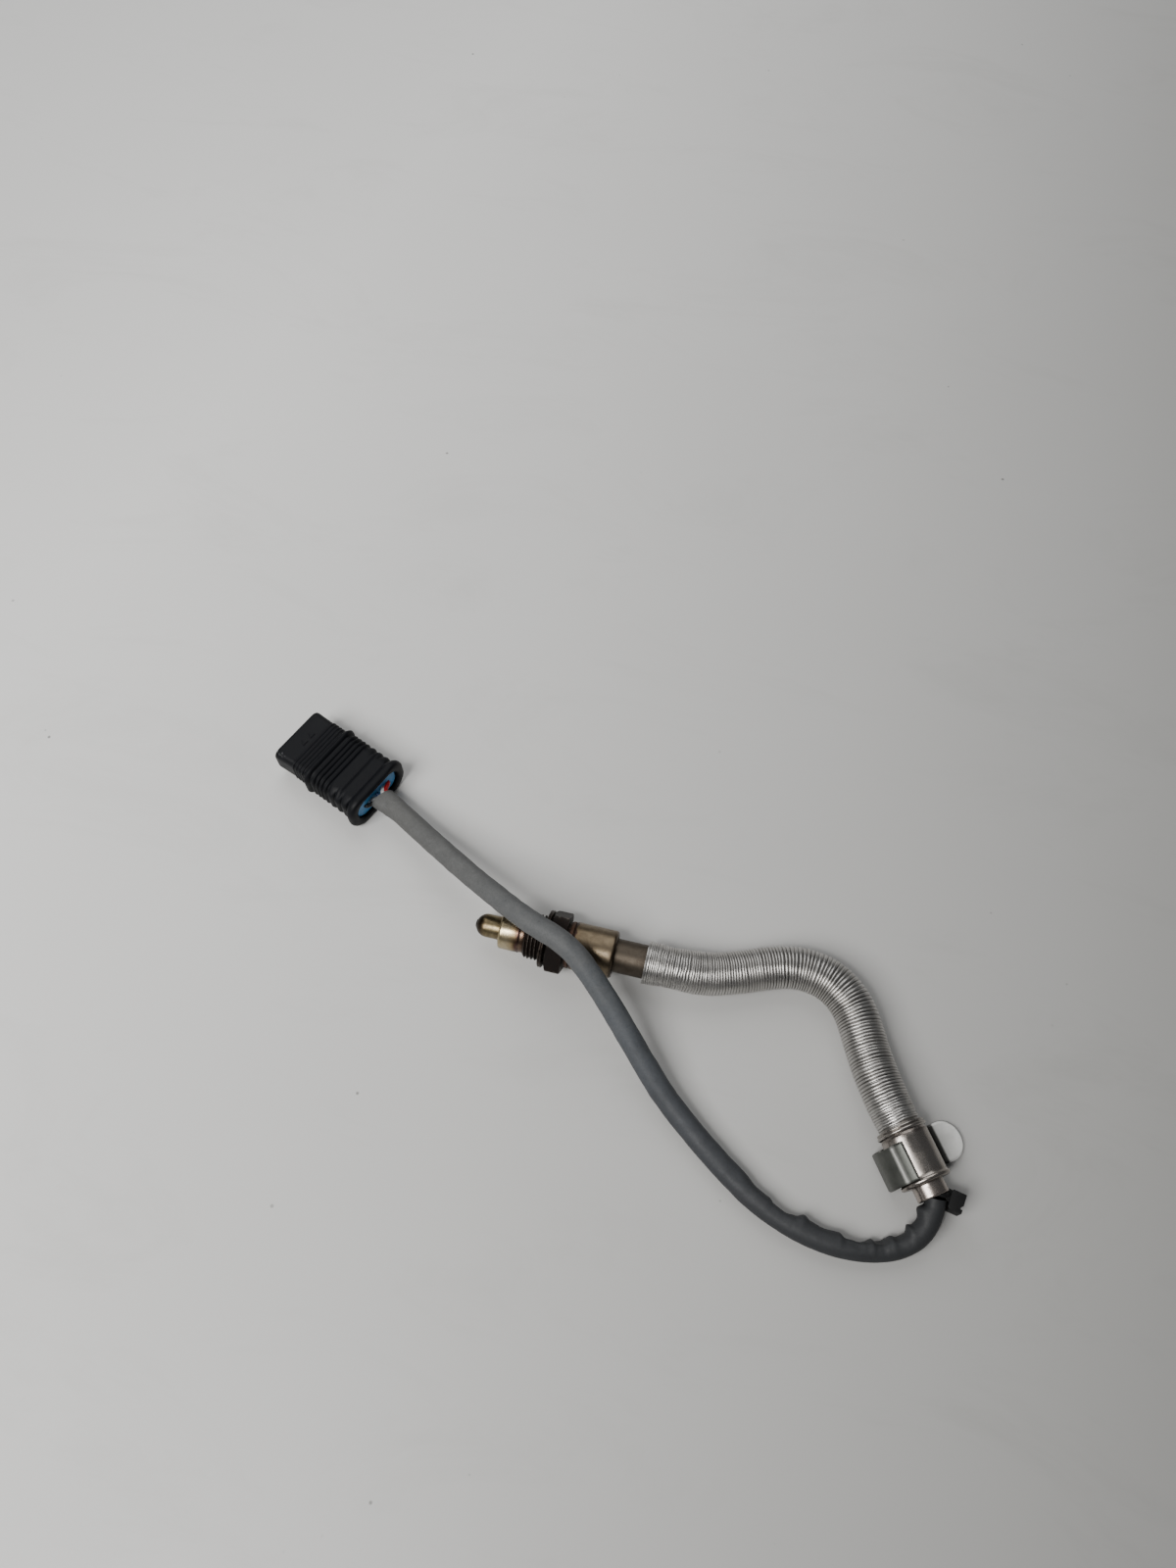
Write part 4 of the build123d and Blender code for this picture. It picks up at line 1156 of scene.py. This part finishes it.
def shell():
    w, h, r = 26.0, 13.2, 3.1
    st = [(9.1, 21.45, 10.85, 2.9), (28.5, 21.5, 10.9, 2.9), (28.55, 25.4, 12.7, 3.0), (28.95, w, h, r)]
    for c in (30.1, 31.8, 33.5, 35.2):
        st += half_round(c - 0.55, c + 0.55, (w, h, r), 0.4)
        st.append((c + 0.8, w, h, r))
    st += [(37.0, w, h, r), (38.5, w, h, r), (40.5, w, h, r), (42.5, w, h, r), (44.3, w, h, r),
           (44.9, w - 0.25, h - 0.25, r), (45.2, w - 0.8, h - 0.8, r - 0.2), (45.2, 21.6, 10.4, 2.0),
           (45.0, 21.0, 9.8, 1.85), (44.4, 20.8, 9.6, 1.8), (39.0, 20.75, 9.55, 1.8), (33.8, 20.7, 9.5, 1.8),
           (33.7, 20.2, 9.0, 1.6), (33.7, 19.0, 7.6, 1.0), (20.0, 19.0, 7.6, 1.0), (9.1, 19.0, 7.6, 1.0)]

    def shape(x, y, z, w2, h2):
        # the mating end tapers a little and its lower edges are sloped
        if z > 36 and w2 > 22:
            k = (z - 36) / 9.2
            x *= 1 + 0.010 * k
            x += 0.55 * k * max(0.0, x) / 13.0
            if y < 0:
                edge = max(0.0, (abs(x) - 9.8) / 3.4)
                y += 0.5 * k * edge * edge
        return x, y, z

    ob = loft("shell_skin", st, mat_shell, "connector_shell", 35.0, shape)
    # two small ramps on the broad face
    metal = ob.data
    bm = bmesh.new()
    bm.from_mesh(metal)
    for cx in (-2.4, 1.9):
        top = h / 2 + 0.3
        base_y = h / 2 - 0.3
        tri = [(cx - 1.8, 37.4), (cx + 1.8, 37.4), (cx, 40.8)]
        lo = [bm.verts.new(Vector(on_conn(x, base_y, z)) * MM) for x, z in tri]
        hi = [bm.verts.new(Vector(on_conn(cx + (x - cx) * 0.72, top if z < 39 else h / 2 + 0.1,
                                          z + (0.35 if z < 39 else -0.5))) * MM) for x, z in tri]
        fs = [bm.faces.new(lo[::-1]), bm.faces.new(hi)]
        for i in range(3):
            fs.append(bm.faces.new((lo[i], lo[(i + 1) % 3], hi[(i + 1) % 3], hi[i])))
        es = {e for q in fs for e in q.edges}
        bmesh.ops.bevel(bm, geom=list(es), offset=0.12 * MM, segments=2, profile=0.5, affect="EDGES", clamp_overlap=True)
    bmesh.ops.recalc_face_normals(bm, faces=bm.faces)
    bm.to_mesh(metal)
    bm.free()
    metal.shade_smooth()
    metal.set_sharp_from_angle(angle=radians(35))
    return ob


shell_ob = shell()


def seal():
    """Soft wire seal with lipped holes and a slightly domed face."""
    xs = [(-2 + k) * 3.5 for k in range(5)]
    n = 120
    rings = []
    for z, w, h, r in ((8.8, 23.2, 12.4, 4.9), (2.3, 23.4, 12.6, 4.95), (1.85, 23.25, 12.45, 4.9),
                       (1.62, 22.7, 11.9, 4.7), (1.52, 21.6, 10.8, 4.3), (1.7, 20.6, 9.8, 3.9), (1.72, 18.0, 7.4, 3.0),
                       (1.6, 15.6, 5.2, 2.2), (1.55, 15.0, 4.6, 2.0), (1.55, 13.0, 2.6, 1.2)):
        ring = []
        for x, y in rrect(w, h, r, n):
            zz = z
            if z < 2:
                for cx in xs:
                    d = hypot(x - cx, y)
                    zz -= 0.35 * exp(-((d - 1.5) / 0.45) ** 2)
                zz += 0.05 * noise.noise(Vector((x * 0.6, y * 0.6, 2)))
            ring.append(on_conn(x, y, zz))
        rings.append(ring)
    v, f = skin(rings, closed=False, cap_start=True, cap_end=True)
    return build("seal_skin", v, f, mat_seal, "wire_seal", 60.0)


seal_ob = seal()


def lead(name, k, mat, node, slot):
    x = (-2 + k) * 3.5
    mx = (-3.2, -1.6, 0.1, 1.7, 3.3)[k]
    my = (0.9, 1.3, -0.4, 1.1, -0.2)[k]
    end, _, n, b = cable_line.at(cable_line.length - 6.0)
    back = Vector(end) - CONN_AT
    ex, ez = back.dot(C_X), back.dot(CONN_DIR)
    pts = [(x, 0, 5.0), (x, 0, 2.6), (x * 0.99, 0.05, 1.4), (x * 0.82 + mx * 0.18, my * 0.3, 0.55),
           (mx * 1.02, my * 0.8, -0.5), (mx * 0.95 + ex * 0.2, my, -2.2), (mx * 0.82 + ex * 0.6, my, -4.0),
           (mx * 0.72 + ex, my, ez)]
    cu = bpy.data.curves.new(name, "CURVE")
    cu.dimensions = "3D"
    sp = cu.splines.new("NURBS")
    sp.points.add(len(pts) - 1)
    for p, q in zip(sp.points, pts):
        w = Vector(on_conn(*q)) * MM
        p.co = (*w, 1.0)
    sp.order_u = 3
    sp.use_endpoint_u = True
    cu.resolution_u = 16
    cu.bevel_depth = 0.95 * MM
    cu.bevel_resolution = 6
    cu.use_fill_caps = True
    ob = bpy.data.objects.new(name, cu)
    bpy.context.scene.collection.objects.link(ob)
    cu.materials.append(mat)
    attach(ob, "root")
    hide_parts(node)
    return ob


leads = [lead("lead_red", 0, mat_red, "wire_red", "insulation_red"),
         lead("lead_white", 1, mat_white, "wire_white", "insulation_white"),
         lead("lead_blue", 2, mat_blue, "wire_blue", "insulation_blue"),
         lead("lead_grey", 3, mat_grey, "wire_grey", "insulation_grey"),
         lead("lead_black", 4, mat_black, "wire_black", "insulation_black")]

# CAD nodes that keep their own shape
for name, mat in {"sensor_element": mat_ceramic, "front_insulator": mat_ceramic, "powder_seal": mat_powder,
                  "rear_insulator": mat_ceramic, "contact_holder": mat_ceramic, "contact_springs": mat_contact,
                  "rear_grommet": mat_grommet, "sensor_leads": mat_grey, "ferrule_bush": mat_grommet,
                  "terminal_carrier": mat_carrier, "lock_slide": mat_lock, "terminal_blades": mat_blade}.items():
    ob = nodes[name]
    if ob.material_slots:
        for sl in ob.material_slots:
            sl.material = mat
    else:
        ob.data.materials.append(mat)


# -------------------------------------------------------------------- stage
def floor_plane():
    me = bpy.data.meshes.new("stage_floor")
    k = 3.0
    me.from_pydata([(-k, -k, 0), (k, -k, 0), (k, k, 0), (-k, k, 0)], [], [(0, 1, 2, 3)])
    ob = bpy.data.objects.new("stage_floor", me)
    bpy.context.scene.collection.objects.link(ob)
    m, nt, p, co = start("mat_floor")
    cloud = grain(nt, co, 6.0, 4.0)
    speck = N(nt, "TexVoronoi", {"Vector": co, "Scale": 60.0, "Randomness": 1.0}).outputs["Distance"]
    pick = grain(nt, co, 43.0, 2.0)
    # painted light falloff: the floor is lighter towards the left and darker towards the right
    side = N(nt, "VectorMath", {0: co, 1: (-0.974, 0.227, 0.0)}, operation="DOT_PRODUCT").outputs["Value"]
    base = blend_colour(nt, span(nt, side, -0.27, 0.29), (0.30, 0.298, 0.291), (0.85, 0.847, 0.836))
    base = blend_colour(nt, span(nt, cloud, 0.35, 0.65, 0.0, 0.35), base, (0.95, 0.95, 0.945), "MULTIPLY")
    dots = calc(nt, "MULTIPLY", span(nt, speck, 0.030, 0.052, 1.0, 0.0), span(nt, pick, 0.56, 0.62), clamp=True)
    smudge = grain(nt, co, 8.0, 9.0, 0.72, (1.0, 2.4, 1.0), 0.8)
    base = blend_colour(nt, span(nt, smudge, 0.52, 0.74, 0.0, 0.5), base, (0.86, 0.86, 0.85), "MULTIPLY")
    base = blend_colour(nt, calc(nt, "MULTIPLY", dots, 0.7), base, (0.12, 0.12, 0.11))
    link(nt, base, p, "Base Color")
    link(nt, span(nt, cloud, 0.3, 0.7, 0.42, 0.5), p, "Roughness")
    p.inputs["Specular IOR Level"].default_value = 0.3
    me.materials.append(m)
    return ob


floor_plane()


def area(name, at, target, size, power, colour=(1, 1, 1), size_y=None):
    li = bpy.data.lights.new(name, "AREA")
    li.energy = power
    li.color = colour
    li.size = size
    if size_y:
        li.shape = "RECTANGLE"
        li.size_y = size_y
    ob = bpy.data.objects.new(name, li)
    ob.location = at
    ob.rotation_euler = (Vector(target) - Vector(at)).to_track_quat("-Z", "Y").to_euler()
    bpy.context.scene.collection.objects.link(ob)
    return ob


centre = (0.04, -0.02, 0.0)
area("key_light", (-0.47, -0.63, 0.98), centre, 0.60, 14.0, (1.0, 0.99, 0.97))
area("strip_light", (-0.20, -0.50, 1.10), (0.12, -0.02, 0.0), 0.17, 3.2, (1.0, 0.99, 0.97))
area("north_light", (-0.30, 0.90, 1.15), centre, 1.35, 10.3, (1.0, 1.0, 0.99))
world = bpy.data.worlds.new("world")
bpy.context.scene.world = world
world.use_nodes = True
bg = world.node_tree.nodes["Background"]
bg.inputs["Color"].default_value = (0.95, 0.97, 1.0, 1.0)
bg.inputs["Strength"].default_value = 0.11

# camera: pitched 27 degrees from straight down, turned 13.7 degrees from the sensor's axis
cam = bpy.data.cameras.new("camera")
cam.sensor_width = 36.0
cam.sensor_fit = "AUTO"
cam.lens = 27.045
cam.clip_start = 0.01
cam.clip_end = 20.0
cam_ob = bpy.data.objects.new("camera", cam)
pitch, turn = radians(27.0), radians(13.695)
R = Vector((cos(turn), sin(turn), 0.0))
U = Vector((-cos(pitch) * sin(turn), cos(pitch) * cos(turn), sin(pitch)))
F = Vector((-sin(pitch) * sin(turn), sin(pitch) * cos(turn), -cos(pitch)))
loc = Vector((0.04658, -0.14601, 0.4465))
cam_ob.matrix_world = Matrix(((R.x, U.x, -F.x, loc.x), (R.y, U.y, -F.y, loc.y), (R.z, U.z, -F.z, loc.z), (0, 0, 0, 1)))
bpy.context.scene.collection.objects.link(cam_ob)
bpy.context.scene.camera = cam_ob

bpy.context.view_layer.update()
